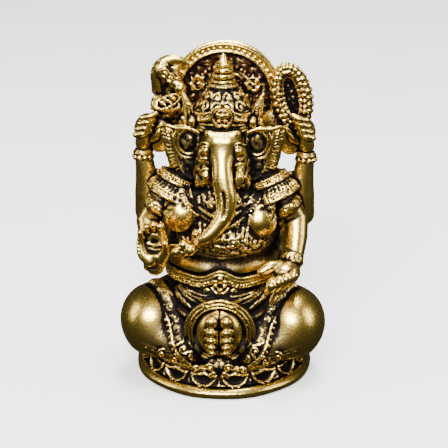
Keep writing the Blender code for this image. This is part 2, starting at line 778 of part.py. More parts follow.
def cup_width():
    """Half of the cup's width. It reaches from the palm to the axe."""
    return 0.65 * (AXE_MIDDLE.x + REAR_ARM_SPREAD - 0.9) - 0.47


def cup_shapes():
    """Ribbed cup between the right rear fist and the axe."""
    return [ball(tuple(cup_middle()), (cup_width(), 1.4, 1.7), (0, 20, 0))]


def cup_hollow():
    """Inside of the cup, open to the front."""
    return [ball(tuple(cup_middle() + Vector((0.2, -1.3, 0.7))), (cup_width() - 0.7, 1.2, 1.25),
                 (0, 20, 0))]


def axe_head_shapes():
    """Socket of the axe on its short handle, with a round knob."""
    path = [(-1.4, 0, 1.1), (-0.2, -0.1, 0), (0.7, -0.8, -0.9)]
    knob = AXE_MIDDLE + Vector((0.9, -1.0, -1.1))
    handle = [AXE_MIDDLE, AXE_MIDDLE + Vector((-0.7, 0, -2.6))]
    return [limb([tuple(AXE_MIDDLE + Vector(step)) for step in path], [1.3, 1.1, 0.7]),
            ball(tuple(knob), (KNOB_RADIUS, KNOB_RADIUS, KNOB_RADIUS)),
            limb([tuple(point) for point in handle], [0.8, 0.8])]


def axe_blade_shapes():
    """Crescent blade that thins to its two horns."""
    points, radii = [], []
    count = 7
    reach = AXE_RADIUS - AXE_BLADE_WIDTH / 2
    for i in range(count + 1):
        angle = math.radians(AXE_HORNS[0] + (AXE_HORNS[1] - AXE_HORNS[0]) * i / count)
        along = Vector((math.cos(angle), 0, math.sin(angle)))
        points.append(tuple(AXE_MIDDLE + along * reach))
        radii.append(AXE_BLADE_WIDTH / 2 * (0.35 + 0.65 * math.sin(math.pi * i / count)))
    return [limb(points, radii)]


def noose_shapes():
    """Oval rope of the noose with a web behind it."""
    web = NOOSE_MIDDLE + Vector((0, 0.45, 0))
    return [loop(tuple(NOOSE_MIDDLE), NOOSE_WIDTH - NOOSE_ROPE_RADIUS,
                 NOOSE_HEIGHT - NOOSE_ROPE_RADIUS, NOOSE_ROPE_RADIUS, NOOSE_TURN),
            ball(tuple(web), (NOOSE_WIDTH - 0.85, 0.4, NOOSE_HEIGHT - 0.8), (0, NOOSE_TURN[1], 0))]


def sweet_shapes():
    """Round sweet at the end of the trunk."""
    return [ball((-4.5, HEAD_Y - 8.1, HEAD_MIDDLE - 10.3),
                 (SWEET_RADIUS * 1.1, SWEET_RADIUS, SWEET_RADIUS))]


# ---------------------------------------------------------------- assembly

def start_scene():
    """Empties the scene and makes the collection and the materials."""
    for old in list(bpy.data.objects):
        bpy.data.objects.remove(old)
    bpy.context.scene.collection.children.link(bpy.data.collections.new("seated_deity"))
    for name, (colour, roughness) in BRASS.items():
        material = bpy.data.materials.new(name)
        material.use_nodes = True
        shader = material.node_tree.nodes["Principled BSDF"]
        shader.inputs["Base Color"].default_value = (*colour, 1)
        shader.inputs["Metallic"].default_value = 1.0
        shader.inputs["Roughness"].default_value = roughness


def build_pedestal():
    """Plinth and lotus seat."""
    piece("plinth", plinth_shapes(), finish="polished_brass")
    piece("lotus_seat", drum_shapes() + petal_shapes(), plinth_shapes())


def build_body():
    """Torso, hips, folded legs and the cloth over them."""
    legs = both(leg_shapes())
    body = torso_shapes() + hip_shapes()
    piece("torso", torso_shapes(), finish="polished_brass")
    piece("hips", hip_shapes(), torso_shapes(), finish="dark_patina")
    pair("leg", leg_shapes(), seat_shapes() + body, finish="polished_brass")
    piece("lap_cloth", lap_shapes(), seat_shapes() + body + legs, finish="dark_patina")
    lower = seat_shapes() + body + legs + lap_shapes()
    pair("foot", foot_shapes(), lower + middle_gap(), finish="polished_brass")
    feet = both(foot_shapes())
    piece("foot_frame", foot_frame_shapes(), lower + feet)
    piece("belt", belt_shapes(), body + legs + lap_shapes())
    front = lower + feet + foot_frame_shapes() + belt_shapes()
    piece("belt_clasp", clasp_shapes(), front)
    pair("swag", swag_shapes(), front + clasp_shapes())
    pair("hem", hem_shapes(), front + both(swag_shapes()) + middle_gap())


def build_head():
    """Head, trunk, tusks, ears, crown and halo."""
    body = torso_shapes()
    face = head_shapes() + proboscis_shapes()
    ears = both(ear_shapes())
    crown = band_shapes() + dome_shapes()
    piece("head", head_shapes(), body, finish="polished_brass")
    piece("trunk", proboscis_shapes(), head_shapes() + body, finish="polished_brass")
    piece("right_tusk", tusk_shapes(BROKEN_TUSK_LENGTH, 0.8), face, finish="polished_brass")
    whole = [mirrored(shape) for shape in tusk_shapes(TUSK_LENGTH, 0.4)]
    piece("left_tusk", whole, face, finish="polished_brass")
    pair("ear", ear_shapes(), head_shapes() + body, ear_dish())
    piece("crown_band", band_shapes(), head_shapes() + ears)
    piece("crown_dome", dome_shapes(), head_shapes() + band_shapes())
    piece("crown_spire", spire_shapes(), dome_shapes(), finish="polished_brass")
    piece("crown_crest", crest_shapes(), crown + face, finish="polished_brass")
    pair("crown_wing", wing_shapes(), crown + ears + head_shapes())
    front = face + crown + body + ears + both(wing_shapes())
    inner = HALO_RADIUS - HALO_RIM_WIDTH
    piece("halo_plate", halo_disc(inner - SEAM, HALO_THICKNESS / 2), front, finish="dark_patina")
    piece("halo_rim", halo_rim_shapes(), front, halo_disc(inner, 2 * HALO_THICKNESS),
          finish="polished_brass")


def build_shoulders():
    """Two-tier capes and the collar."""
    body = torso_shapes() + head_shapes() + both(ear_shapes())
    pair("upper_cape", upper_cape_shapes(), body)
    pair("lower_cape", lower_cape_shapes(), body + upper_cape_shapes())
    capes = both(upper_cape_shapes() + lower_cape_shapes())
    piece("necklace", necklace_shapes(), body + proboscis_shapes() + capes)


def build_front_arm(side, hand, held):
    """Upper arm, forearm, bangle and hand of one front arm, from the shoulder down."""
    capes = both(upper_cape_shapes() + lower_cape_shapes())
    base = torso_shapes() + hip_shapes() + both(leg_shapes()) + belt_shapes() + capes
    upper, fore, bangle = upper_arm_shapes(side), forearm_shapes(side), bangle_shapes(side)
    piece(side + "_upper_arm", upper, base, finish="polished_brass")
    piece(side + "_forearm", fore, base + upper, finish="polished_brass")
    piece(side + "_bangle", bangle, base + fore + held)
    cloth = lap_shapes() + both(hem_shapes() + swag_shapes())
    piece(side + "_hand", hand, base + fore + bangle + cloth + held, finish="polished_brass")


def build_rear_arms():
    """Upper arm, forearm, bangle and fist of the raised rear arms."""
    front = []
    for side in ("right", "left"):
        front += upper_arm_shapes(side) + forearm_shapes(side)
    capes = both(upper_cape_shapes() + lower_cape_shapes())
    body = torso_shapes() + both(ear_shapes()) + front + capes
    upper, fore, bangle = rear_upper_arm_shapes(), rear_forearm_shapes(), rear_bangle_shapes()
    pair("rear_upper_arm", upper, body, finish="polished_brass")
    pair("rear_forearm", fore, body + upper, finish="polished_brass")
    pair("rear_bangle", bangle, fore + ear_shapes())
    grip = fore + bangle + ear_shapes() + halo_rim_shapes()
    piece("right_rear_hand", rear_hand_shapes(), grip + cup_shapes() + axe_head_shapes(),
          finish="polished_brass")
    piece("left_rear_hand", flipped(rear_hand_shapes()), flipped(grip) + noose_shapes(),
          finish="polished_brass")


def build_attributes():
    """Axe, noose and sweet."""
    crown = band_shapes() + dome_shapes() + spire_shapes() + both(wing_shapes() + ear_shapes())
    behind = halo_rim_shapes() + crown
    piece("axe_cup", cup_shapes(), behind, cup_hollow())
    piece("axe_head", axe_head_shapes(), behind + cup_shapes())
    piece("axe_blade", axe_blade_shapes(), behind + cup_shapes() + axe_head_shapes(),
          finish="polished_brass")
    piece("noose", noose_shapes(), behind)
    piece("sweet", sweet_shapes(), proboscis_shapes() + raised_hand_shapes() + torso_shapes(),
          finish="polished_brass")


def build():
    """The whole statuette."""
    start_scene()
    build_pedestal()
    build_body()
    build_head()
    build_shoulders()
    build_front_arm("right", raised_hand_shapes(), proboscis_shapes())
    build_front_arm("left", resting_hand_shapes(), broken_tusk_shapes())
    below = both(leg_shapes() + hem_shapes() + swag_shapes()) + lap_shapes()
    piece("broken_tusk", broken_tusk_shapes(), below, finish="polished_brass")
    build_rear_arms()
    build_attributes()


build()
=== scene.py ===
import json
import math

import bpy
import numpy as np
from mathutils import Euler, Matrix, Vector


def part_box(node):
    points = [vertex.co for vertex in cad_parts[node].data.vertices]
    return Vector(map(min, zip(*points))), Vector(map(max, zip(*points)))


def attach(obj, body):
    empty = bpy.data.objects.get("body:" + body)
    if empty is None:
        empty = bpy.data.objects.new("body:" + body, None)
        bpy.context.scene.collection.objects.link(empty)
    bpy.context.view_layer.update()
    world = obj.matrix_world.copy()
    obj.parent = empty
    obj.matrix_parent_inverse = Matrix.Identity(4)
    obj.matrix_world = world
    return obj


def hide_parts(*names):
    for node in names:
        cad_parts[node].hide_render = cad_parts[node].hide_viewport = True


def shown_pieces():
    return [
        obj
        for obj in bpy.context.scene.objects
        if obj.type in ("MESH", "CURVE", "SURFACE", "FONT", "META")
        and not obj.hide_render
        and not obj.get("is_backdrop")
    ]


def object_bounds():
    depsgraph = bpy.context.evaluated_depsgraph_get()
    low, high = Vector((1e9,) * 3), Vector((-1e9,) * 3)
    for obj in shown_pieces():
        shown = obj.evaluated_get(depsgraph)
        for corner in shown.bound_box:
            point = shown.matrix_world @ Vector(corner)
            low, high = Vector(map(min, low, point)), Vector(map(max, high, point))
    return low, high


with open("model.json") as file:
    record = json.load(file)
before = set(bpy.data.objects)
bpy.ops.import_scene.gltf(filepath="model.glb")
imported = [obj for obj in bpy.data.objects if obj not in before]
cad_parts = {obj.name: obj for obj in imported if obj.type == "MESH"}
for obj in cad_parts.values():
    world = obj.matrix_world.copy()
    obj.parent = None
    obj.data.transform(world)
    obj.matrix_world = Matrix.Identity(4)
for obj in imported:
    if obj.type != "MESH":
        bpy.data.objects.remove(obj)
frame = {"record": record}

bl_info = {
    "name": "Seated elephant-headed deity",
    "version": (1, 0, 0),
    "blender": (4, 5, 0),
    "location": "View3D > Sidebar > Deity",
    "description": "Sculpts a cast brass statuette piece by piece over its solid model",
    "category": "Object",
}

MM = 0.001
GRAIN = 0.15  # millimetres between the points of the lattice that every piece is sculpted on
FAR = 3.0  # distance that stands for empty space
TINY = 1e-6  # keeps a division from meeting zero
STIPPLE_PITCH = 0.42  # millimetres between the grains of a matted ground
SCROLL_TURNS = 1.1  # how often a scroll winds round
HOLLOW_BLUR, PATINA_AND_PAINTED_SHADE_BLUR = 0.34, 1.3  # millimetres over which the two values of tone are averaged: patina in fine hollows, and patina with painted shade where parts shelter each other
AIM = 0.457  # share of the height that the camera looks at
CAD_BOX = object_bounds()
CLAYS = {}  # every sculpted piece, by its node's name
FRESH = []  # nodes of the pieces that the running operator has sculpted
BROW_STEP = np.array([0.1, -2.0, 2.0])  # middle of the brow from the middle of the skull
SIDES = ("right", "left")  # the figure's own
UPRIGHT = (90, 0, 0)  # turns a lathe's axis to the front


# ---------------------------------------------------------------- the sculptor's tools

class Spot:
    """Where a solid of the model is, in millimetres."""

    def __init__(self, node):
        low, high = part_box(node)
        self.low, self.high = np.array(low) / MM, np.array(high) / MM
        self.mid = (self.low + self.high) / 2
        self.half = (self.high - self.low) / 2

    def at(self, across, deep, up):
        """A point by its shares of the half size, so (0, -1, 1) is the top of the front."""
        return self.mid + self.half * (across, deep, up)


def turn_matrix(turn):
    """Rotation matrix of angles about X, Y and Z in degrees."""
    return np.array(Euler([math.radians(angle) for angle in turn], "XYZ").to_matrix())


def seen_from(middle, matrix, x, y, z):
    """Coordinates in a system that the matrix has turned about the middle."""
    parts = (x - middle[0], y - middle[1], z - middle[2])
    return [sum(matrix[i, j] * part for i, part in enumerate(parts)) for j in range(3)]


def sign_of(side):
    """Which way X runs on a side: 1 on the figure's left."""
    return 1 if side == "left" else -1


def across_way(forward, other):
    """Two directions at right angles to a way forward, the first one also to the other."""
    forward = forward / np.linalg.norm(forward)
    side = np.cross(forward, other)
    side /= np.linalg.norm(side)
    return side, np.cross(side, forward)


def across_cell(x, y, count):
    """Place across its cell, from -1 to 1, among a count of cells round the Z axis."""
    cell = (np.arctan2(y, x) + math.pi / 2) * count / math.tau
    return (cell - np.floor(cell) - 0.5) * 2


def skull_middle():
    """Middle of the skull, from which the head and the trunk are measured."""
    head = Spot("head")
    return np.array([0, head.low[1] + 4.45, head.high[2] - 4.1])


def ring(middle, across, along, count=40, start=0, end=360):
    """Points round a middle, from the end of one half axis by way of the other's, in degrees."""
    angles = np.radians(np.linspace(start, end, count))[:, None]
    return middle + np.cos(angles) * np.asarray(across) + np.sin(angles) * np.asarray(along)


def run_along(path):
    """How far along the path each of its points is."""
    return np.concatenate([[0], np.cumsum(np.linalg.norm(np.diff(path, axis=0), axis=1))])


def curve(points, step=0.3, closed=False):
    """A smooth path through the points, as points about a step apart."""
    points = [np.array(point, float) for point in points]
    if closed:
        ends = [points[-1]] + points + [points[0], points[1]]
    else:
        ends = [2 * points[0] - points[1]] + points + [2 * points[-1] - points[-2]]
    path = []
    for a, b, c, d in zip(ends, ends[1:], ends[2:], ends[3:]):
        count = max(1, int(np.linalg.norm(c - b) / step))
        for t in np.arange(count) / count:
            path.append(0.5 * (2 * b + (c - a) * t + (2 * a - 5 * b + 4 * c - d) * t ** 2
                               + (3 * b - a - 3 * c + d) * t ** 3))
    path.append(points[0] if closed else points[-1])
    return np.array(path)


def evenly(path, pitch):
    """Points of the path a pitch apart."""
    run = run_along(path)
    count = max(1, int(round(run[-1] / pitch)))
    wanted = np.linspace(0, run[-1], count + 1)
    return np.stack([np.interp(wanted, run, path[:, i]) for i in range(3)], axis=1)


class Clay:
    """A block of the lattice round one piece. It holds the distance to the piece's surface.

    Shapes are given from an origin, and mirrored in X for the figure's right, as hold() sets.
    """

    def __init__(self, node, spare=1.0):
        self.spot = Spot(node)
        self.node = node
        self.hold((0, 0, 0))
        self.first = np.floor((self.spot.low - spare) / GRAIN).astype(int)
        last = np.ceil((self.spot.high + spare) / GRAIN).astype(int)
        self.field = np.full(last - self.first + 1, FAR, np.float32)
        CLAYS[node] = self
        FRESH.append(node)

    def hold(self, origin, sign=1):
        """Sets where the shapes that follow are measured from, and -1 to mirror them."""
        self.origin, self.mirror = np.asarray(origin, float), np.array([sign, 1, 1])

    def placed(self, points):
        """Points of the model from points as the shapes give them."""
        return self.origin + np.asarray(points, float) * self.mirror

    def turned(self, turn):
        """Rotation matrix of angles about X, Y and Z in degrees."""
        return turn_matrix(np.asarray(turn) * (1, self.mirror[0], self.mirror[0]))

    def window(self, low, high):
        """The part of the block between two corners, and its x, y and z."""
        start = np.maximum(np.floor(np.asarray(low) / GRAIN).astype(int) - self.first, 0)
        stop = np.ceil(np.asarray(high) / GRAIN).astype(int) - self.first + 1
        stop = np.minimum(stop, self.field.shape)
        if (stop <= start).any():
            return None, None
        axes = [(np.arange(a, b) + f) * GRAIN for a, b, f in zip(start, stop, self.first)]
        return tuple(slice(a, b) for a, b in zip(start, stop)), np.ix_(*axes)

    def press(self, low, high, distance, blend=0.1, cut=False):
        """Joins a shape to the piece, or cuts it away, with a fillet of about the blend."""
        reach = blend + 3 * GRAIN
        place, axes = self.window(np.asarray(low) - reach, np.asarray(high) + reach)
        if place is None:
            return
        old = self.field[place]
        new = distance(*axes)
        if cut:
            old, new = -old, new
        share = np.clip(0.5 + 0.5 * (new - old) / max(blend, TINY), 0, 1)
        joined = new * (1 - share) + old * share - blend * share * (1 - share)
        self.field[place] = -joined if cut else joined

    def ball(self, middle, radii, turn=(0, 0, 0), blend=0.1, cut=False):
        """An ellipsoid."""
        middle, matrix = self.placed(middle), self.turned(turn)
        radii = np.broadcast_to(np.asarray(radii, float), 3)
        half = np.sqrt((matrix ** 2) @ (radii ** 2))

        def distance(x, y, z):
            local = seen_from(middle, matrix, x, y, z)
            near = np.sqrt(sum((part / r) ** 2 for part, r in zip(local, radii)))
            slope = np.sqrt(sum((part / r ** 2) ** 2 for part, r in zip(local, radii)))
            return near * (near - 1) / np.maximum(slope, TINY)

        self.press(middle - half, middle + half, distance, blend, cut)

    def bar(self, path, radii, blend=0.05, cut=False, squash=None, step=None):
        """A round bar along a path, which a step makes smooth.

        squash = (direction, factor) makes it thinner that way.
        """
        path = self.placed(path)
        if step:
            path = curve(path, step)
        radii = np.atleast_1d(radii)
        radii = np.interp(np.linspace(0, 1, len(path)), np.linspace(0, 1, len(radii)), radii)

        def metric(parts):
            if squash is None:
                return np.sqrt(sum(part * part for part in parts))
            way = np.asarray(squash[0], float) / np.linalg.norm(squash[0])
            along = sum(w * part for w, part in zip(way, parts)) * (squash[1] - 1)
            return np.sqrt(sum((part + w * along) ** 2 for w, part in zip(way, parts)))

        def segment(a, b, ra, rb):
            def distance(x, y, z):
                parts = (x - a[0], y - a[1], z - a[2])
                line = b - a
                t = np.clip(sum(p * l for p, l in zip(parts, line)) / max(line @ line, 1e-9), 0, 1)
                return metric([p - t * l for p, l in zip(parts, line)]) - (ra + (rb - ra) * t)
            return distance

        spans = list(zip(path, path[1:], radii, radii[1:]))
        if blend > 0.2:  # wide fillets would pile up where the spans meet
            def whole(x, y, z):
                return np.minimum.reduce([segment(*span)(x, y, z) for span in spans])
            wide = radii.max()
            self.press(path.min(0) - wide, path.max(0) + wide, whole, blend, cut)
            return
        for a, b, ra, rb in spans:
            wide = max(ra, rb)
            self.press(np.minimum(a, b) - wide, np.maximum(a, b) + wide, segment(a, b, ra, rb),
                       blend, cut)

    def lathe(self, middle, profile, blend=0.05, cut=False, turn=(0, 0, 0)):
        """A turned body on its own Z axis: (radius, height) pairs from its foot to its top."""
        middle, matrix = self.placed(middle), self.turned(turn)
        radii, heights = np.array(profile, float).T
        wide, tall = radii.max(), np.abs(heights).max()
        half = np.abs(matrix) @ np.array([wide, wide, tall])

        def distance(x, y, z):
            u, v, w = seen_from(middle, matrix, x, y, z)
            side = np.sqrt(u * u + v * v) - np.interp(w, heights, radii)
            ends = np.maximum(heights[0] - w, w - heights[-1])
            outside = np.sqrt(np.maximum(side, 0) ** 2 + np.maximum(ends, 0) ** 2)
            return outside + np.minimum(np.maximum(side, ends), 0)

        self.press(middle - half, middle + half, distance, blend, cut)

    def block(self, middle, half, rounding, blend=0.1):
        """A block with rounded edges."""
        middle, half = self.placed(middle), np.asarray(half, float)

        def distance(x, y, z):
            parts = (x - middle[0], y - middle[1], z - middle[2])
            beyond = [np.abs(part) - h + rounding for part, h in zip(parts, half)]
            outside = np.sqrt(sum(np.maximum(part, 0) ** 2 for part in beyond))
            within = np.minimum(np.maximum(np.maximum(beyond[0], beyond[1]), beyond[2]), 0)
            return outside + within - rounding

        self.press(middle - half, middle + half, distance, blend)

    def beads(self, path, radius, pitch=None, step=None):
        """A row of beads along a path, which a step makes smooth."""
        for point in evenly(curve(path, step) if step else np.asarray(path), pitch or 1.9 * radius):
            self.ball(point, radius, blend=0.05)

    def scroll(self, middle, along, across, size, thick=0.15, lift=(0, -0.1, 0)):
        """A bar that winds inwards to a small boss."""
        middle, along, across, lift = (np.asarray(part, float) for part in (middle, along, across, lift))
        points = []
        for t in np.linspace(0, 1, 12):
            spin, reach = math.tau * SCROLL_TURNS * t, size * (1 - 0.8 * t)
            points.append(middle + along * reach * math.cos(spin) + across * reach * math.sin(spin)
                          + lift * t)
        self.bar(points, [thick, thick * 0.8], 0.04, step=0.2)
        self.ball(middle + lift, thick * 1.35, blend=0.04)

    def relief(self, height, low=None, high=None, reach=0.9):
        """Raises the surface by height(x, y, z) millimetres, or sinks it where that is negative."""
        place, axes = self.window(self.spot.low - 1 if low is None else low,
                                  self.spot.high + 1 if high is None else high)
        old = self.field[place]
        raised = np.broadcast_to(height(*axes), old.shape)
        self.field[place] = old - raised * np.clip((reach - np.abs(old)) / 0.3, 0, 1)

    def stipple(self, height, where=None):
        """Granular ground, as a matting punch leaves it; where(x, y, z) fades it out."""
        grain = Grain(STIPPLE_PITCH, 5)

        def bumps(x, y, z):
            raised = height * np.clip(2.2 * grain(x, y, z), -1, 1)
            return raised if where is None else raised * np.clip(where(x, y, z), 0, 1)

        self.relief(bumps, self.first * GRAIN, (self.first + self.field.shape) * GRAIN)


def drop(nodes, across, up, sink=0.0, way=-1):
    """Points on the front (way -1) or the back (way 1) of the pieces, or None where they miss."""
    points = []
    for x, z in zip(np.atleast_1d(across), np.atleast_1d(up)):
        best = None
        for node in np.atleast_1d(nodes):
            clay = CLAYS[node]
            i, k = (int(round(value / GRAIN)) - clay.first[axis] for value, axis in ((x, 0), (z, 2)))
            if not (0 <= i < clay.field.shape[0] and 0 <= k < clay.field.shape[2]):
                continue
            line = clay.field[i, :, k][::-way]
            inside = np.flatnonzero(line < 0)
            if not len(inside):
                continue
            j = inside[0]
            part = line[j - 1] / (line[j - 1] - line[j]) if j else 0
            step = j - 1 + part
            y = (clay.first[1] + (step if way < 0 else clay.field.shape[1] - 1 - step)) * GRAIN
            if best is None or (y - best) * way > 0:
                best = y
        points.append(None if best is None else np.array([x, best - sink * way, z]))
    return points


def laid(nodes, outline, sink=0.0, step=0.3, closed=False, way=-1):
    """A path through (across, up) points, laid on the front of the pieces."""
    flat = curve([(x, 0, z) for x, z in outline], step, closed)
    points = [point for point in drop(nodes, flat[:, 0], flat[:, 2], sink, way) if point is not None]
    return np.array(points) if len(points) > 1 else None


class Grain:
    """Smooth random numbers from -1 to 1 in space, about a pitch apart."""

    def __init__(self, pitch, seed):
        low, high = (np.array(corner) / MM for corner in CAD_BOX)
        self.pitch = pitch
        self.first = np.floor((low - 6) / pitch).astype(int)
        count = np.ceil((high + 6) / pitch).astype(int) - self.first + 2
        self.values = np.random.default_rng(seed).uniform(-1, 1, count).astype(np.float32)

    def __call__(self, x, y, z):
        values = self.values
        for axis, coordinate in enumerate((x, y, z)):
            place = np.ravel(coordinate) / self.pitch - self.first[axis]
            low = np.floor(place).astype(int)
            part = (place - low).reshape([-1 if i == axis else 1 for i in range(3)])
            values = np.take(values, low, axis) * (1 - part) + np.take(values, low + 1, axis) * part
        return values


def skin(field):
    """Points and faces of the surface: a point for each crossed cell, a face for each crossed edge."""
    field = field.copy()
    for axis in range(3):
        edge = np.moveaxis(field, axis, 0)
        edge[0], edge[-1] = np.maximum(edge[0], GRAIN), np.maximum(edge[-1], GRAIN)
    inside = field < 0
    corners = [(i, j, k) for i in (0, 1) for j in (0, 1) for k in (0, 1)]
    size = np.array(field.shape) - 1

    def shifted(array, corner):
        return array[tuple(slice(c, c + s) for c, s in zip(corner, size))]

    filled = sum(shifted(inside, corner).astype(np.uint8) for corner in corners)
    crossed = (filled > 0) & (filled < 8)
    cells = np.argwhere(crossed)
    number = np.full(crossed.shape, -1, np.int64)
    number[crossed] = np.arange(len(cells))
    values = {corner: field[tuple((cells + corner).T)] for corner in corners}
    total, hits = np.zeros((len(cells), 3)), np.zeros(len(cells))
    for a in corners:
        for axis in range(3):
            if a[axis]:
                continue
            b = tuple(c + (i == axis) for i, c in enumerate(a))
            near, away = values[a], values[b]
            hit = (near < 0) != (away < 0)
            part = near[hit] / (near[hit] - away[hit])
            total[hit] += np.array(a)
            total[hit, axis] += part
            hits[hit] += 1
    points = cells + total / hits[:, None]
    faces = []
    for axis in range(3):
        u, v = np.eye(3, dtype=int)[(axis + 1) % 3], np.eye(3, dtype=int)[(axis + 2) % 3]
        ahead = np.roll(inside, -1, axis)
        hit = inside != ahead
        np.moveaxis(hit, axis, 0)[-1] = False
        edges = np.argwhere(hit)
        flip = ~inside[tuple(edges.T)]
        ring = np.stack([number[tuple((edges + shift).T)] for shift in (-u - v, -v, 0, -u)], axis=1)
        ring[flip] = ring[flip][:, ::-1]
        faces.append(ring)
    return points, np.concatenate(faces)


def finish_piece(node, finish):
    """Makes the mesh of a sculpted piece and gives it its place in the model."""
    clay = CLAYS[node]
    points, faces = skin(clay.field)
    if not len(faces):
        raise RuntimeError("Nothing was sculpted for " + node)
    mesh = bpy.data.meshes.new(node + "_cast")
    mesh.from_pydata((points + clay.first) * GRAIN * MM, [], faces)
    mesh.shade_smooth()
    mesh.materials.append(finish)
    piece = bpy.data.objects.new(mesh.name, mesh)
    bpy.context.scene.collection.objects.link(piece)
    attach(piece, "root")
    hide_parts(node)
    return piece


def blurred(solid, sigma):
    """Gaussian blur of the lattice, sigma in lattice steps."""
    reach = int(math.ceil(2.5 * sigma))
    weights = np.exp(-0.5 * (np.arange(-reach, reach + 1) / sigma) ** 2)
    weights /= weights.sum()
    for axis in range(3):
        padded = np.moveaxis(np.pad(solid, [(reach, reach) if i == axis else (0, 0)
                                            for i in range(3)]), axis, 0)
        count = solid.shape[axis]
        summed = sum(w * padded[i:i + count] for i, w in enumerate(weights))
        solid = np.moveaxis(summed.astype(np.float32), 0, axis)
    return solid


def sampled(grid, first, step, points):
    """Values of a lattice at points in millimetres, blended between its own points."""
    place = points / step - first
    low = np.clip(np.floor(place).astype(int), 0, np.array(grid.shape) - 2)
    part = np.clip(place - low, 0, 1)
    total = 0
    for corner in np.ndindex(2, 2, 2):
        weight = np.prod(np.where(corner, part, 1 - part), axis=1)
        total = total + weight * grid[tuple((low + corner).T)]
    return total


# ---------------------------------------------------------------- finishes

def linear(code):
    """Linear colour of an sRGB hex value."""
    parts = [int(code[i:i + 2], 16) / 255 for i in (1, 3, 5)]
    return tuple(((p + 0.055) / 1.055) ** 2.4 if p > 0.04045 else p / 12.92 for p in parts) + (1,)


def add_node(tree, kind, links=(), **settings):
    """A node with its settings, fed by (input name or number, socket or value) pairs."""
    node = tree.nodes.new(kind)
    for name, value in settings.items():
        setattr(node, name, value)
    for key, source in dict(links).items():
        if isinstance(source, bpy.types.NodeSocket):
            tree.links.new(source, node.inputs[key])
        else:
            node.inputs[key].default_value = source
    return node


def antiqued_brass_and_painted_shade(name, colours, ground, relief, speckle, shade):
    """Cast brass, dipped to a dark tone and rubbed bright again.

    Raised surfaces show bare gold-coloured metal, the ground of the ornament keeps the near-black
    tone, and between them lies brown. Places that other parts shelter are darkened further, with patina
    and painted shade. The investment mould leaves a fine pitted skin.
    """
    material = bpy.data.materials.new(name)
    material.use_nodes = True
    tree = material.node_tree
    shader = tree.nodes["Principled BSDF"]
    place = add_node(tree, "ShaderNodeTexCoord").outputs["Object"]
    hollow = add_node(tree, "ShaderNodeAttribute", attribute_name="hollow").outputs["Fac"]
    shelter = add_node(tree, "ShaderNodeAttribute", attribute_name="shelter").outputs["Fac"]
    # Pits of about 0.25 mm, drawn a little coarser than a mould's, and blotches of about 2 mm
    pits = add_node(tree, "ShaderNodeTexNoise", {"Vector": place, "Scale": 1 / (0.25 * MM),
                                                 "Detail": 2.0, "Roughness": 0.6})
    blotches = add_node(tree, "ShaderNodeTexNoise", {"Vector": place, "Scale": 1 / (2.0 * MM),
                                                     "Detail": 4.0, "Roughness": 0.65})

    def mathed(operation, a, b):
        return add_node(tree, "ShaderNodeMath", {0: a, 1: b}, operation=operation).outputs[0]

    def centred(noise, amount):
        return mathed("MULTIPLY", mathed("SUBTRACT", noise.outputs["Fac"], 0.5), amount)

    # Depth of tone: fine hollows hold the patina, and places that other parts shelter hold patina and
    # painted shade
    depth = mathed("ADD", mathed("MULTIPLY", hollow, relief), mathed("MULTIPLY", shelter, shade))
    mottled = mathed("ADD", depth, centred(blotches, 0.6))
    tone = mathed("ADD", mathed("ADD", mottled, centred(pits, speckle)), ground)
    # the ramp paints the patina of the hollows and the painted shade of sheltered places
    ramp = add_node(tree, "ShaderNodeValToRGB", {"Fac": tone})
    steps = ((0.0, colours["bright"]), (0.3, colours["gold"]), (0.5, colours["bronze"]),
             (0.66, colours["russet"]), (0.82, colours["dark"]))
    while len(ramp.color_ramp.elements) < len(steps):
        ramp.color_ramp.elements.new(0.5)
    for element, (position, colour) in zip(ramp.color_ramp.elements, steps):
        element.position = position
        element.color = linear(colour)
    tree.links.new(ramp.outputs["Color"], shader.inputs["Base Color"])
    # The tone, patina with painted shade in it, is a dull film over the metal
    film = add_node(tree, "ShaderNodeMapRange", {"Value": tone, "From Min": 0.45, "From Max": 0.95,
                                                 "To Min": 1.0, "To Max": 0.85})
    tree.links.new(film.outputs["Result"], shader.inputs["Metallic"])
    rough = add_node(tree, "ShaderNodeMapRange", {"Value": tone, "From Min": 0.0, "From Max": 0.8,
                                                  "To Min": 0.27, "To Max": 0.55})
    tree.links.new(rough.outputs["Result"], shader.inputs["Roughness"])
    bump = add_node(tree, "ShaderNodeBump", {"Height": pits.outputs["Fac"], "Strength": 0.5,
                                             "Distance": 0.06 * MM})
    tree.links.new(bump.outputs["Normal"], shader.inputs["Normal"])
    return material


def pale_floor():
    """Matte white table top: even, with a hardly visible mottle."""
    material = bpy.data.materials.new("matte_white_table")
    material.use_nodes = True
    tree = material.node_tree
    shader = tree.nodes["Principled BSDF"]
    place = add_node(tree, "ShaderNodeTexCoord").outputs["Object"]
    mottle = add_node(tree, "ShaderNodeTexNoise", {"Vector": place, "Scale": 1 / (20 * MM)})
    ramp = add_node(tree, "ShaderNodeValToRGB", {"Fac": mottle.outputs["Fac"]})
    ramp.color_ramp.elements[0].color = linear("#F4F4F4")
    ramp.color_ramp.elements[1].color = linear("#FBFBFB")
    tree.links.new(ramp.outputs["Color"], shader.inputs["Base Color"])
    shader.inputs["Roughness"].default_value = 0.8
    return material


def finish_for(slot):
    """The finish of a material slot of the record, made once."""
    # numbers: ground tone, weight of the hollows' patina, speckle, and weight of the patina and painted
    # shade in sheltered places
    name, *tone = {"polished_brass": ("cast_brass_rubbed", 0.37, 7.5, 0.8, 1.9),
                   "aged_brass": ("cast_brass_antiqued", 0.8, 9.0, 2.0, 1.9),
                   "dark_patina": ("cast_brass_dark_toned", 0.88, 7.0, 1.2, 2.4)}[slot]
    if name not in bpy.data.materials:
        tones = bpy.context.scene.deity_finish
        colours = {"bright": tones.bright, "gold": tones.gold, "bronze": tones.bronze,
                   "russet": tones.wine if slot == "dark_patina" else tones.russet, "dark": tones.dark}
        antiqued_brass_and_painted_shade(name, colours, *tone)
    return bpy.data.materials[name]


SLOT_OF = {entry["node"]: entry["material_slot"] for entry in frame["record"]["subparts"]}


# ---------------------------------------------------------------- sculpting: pedestal

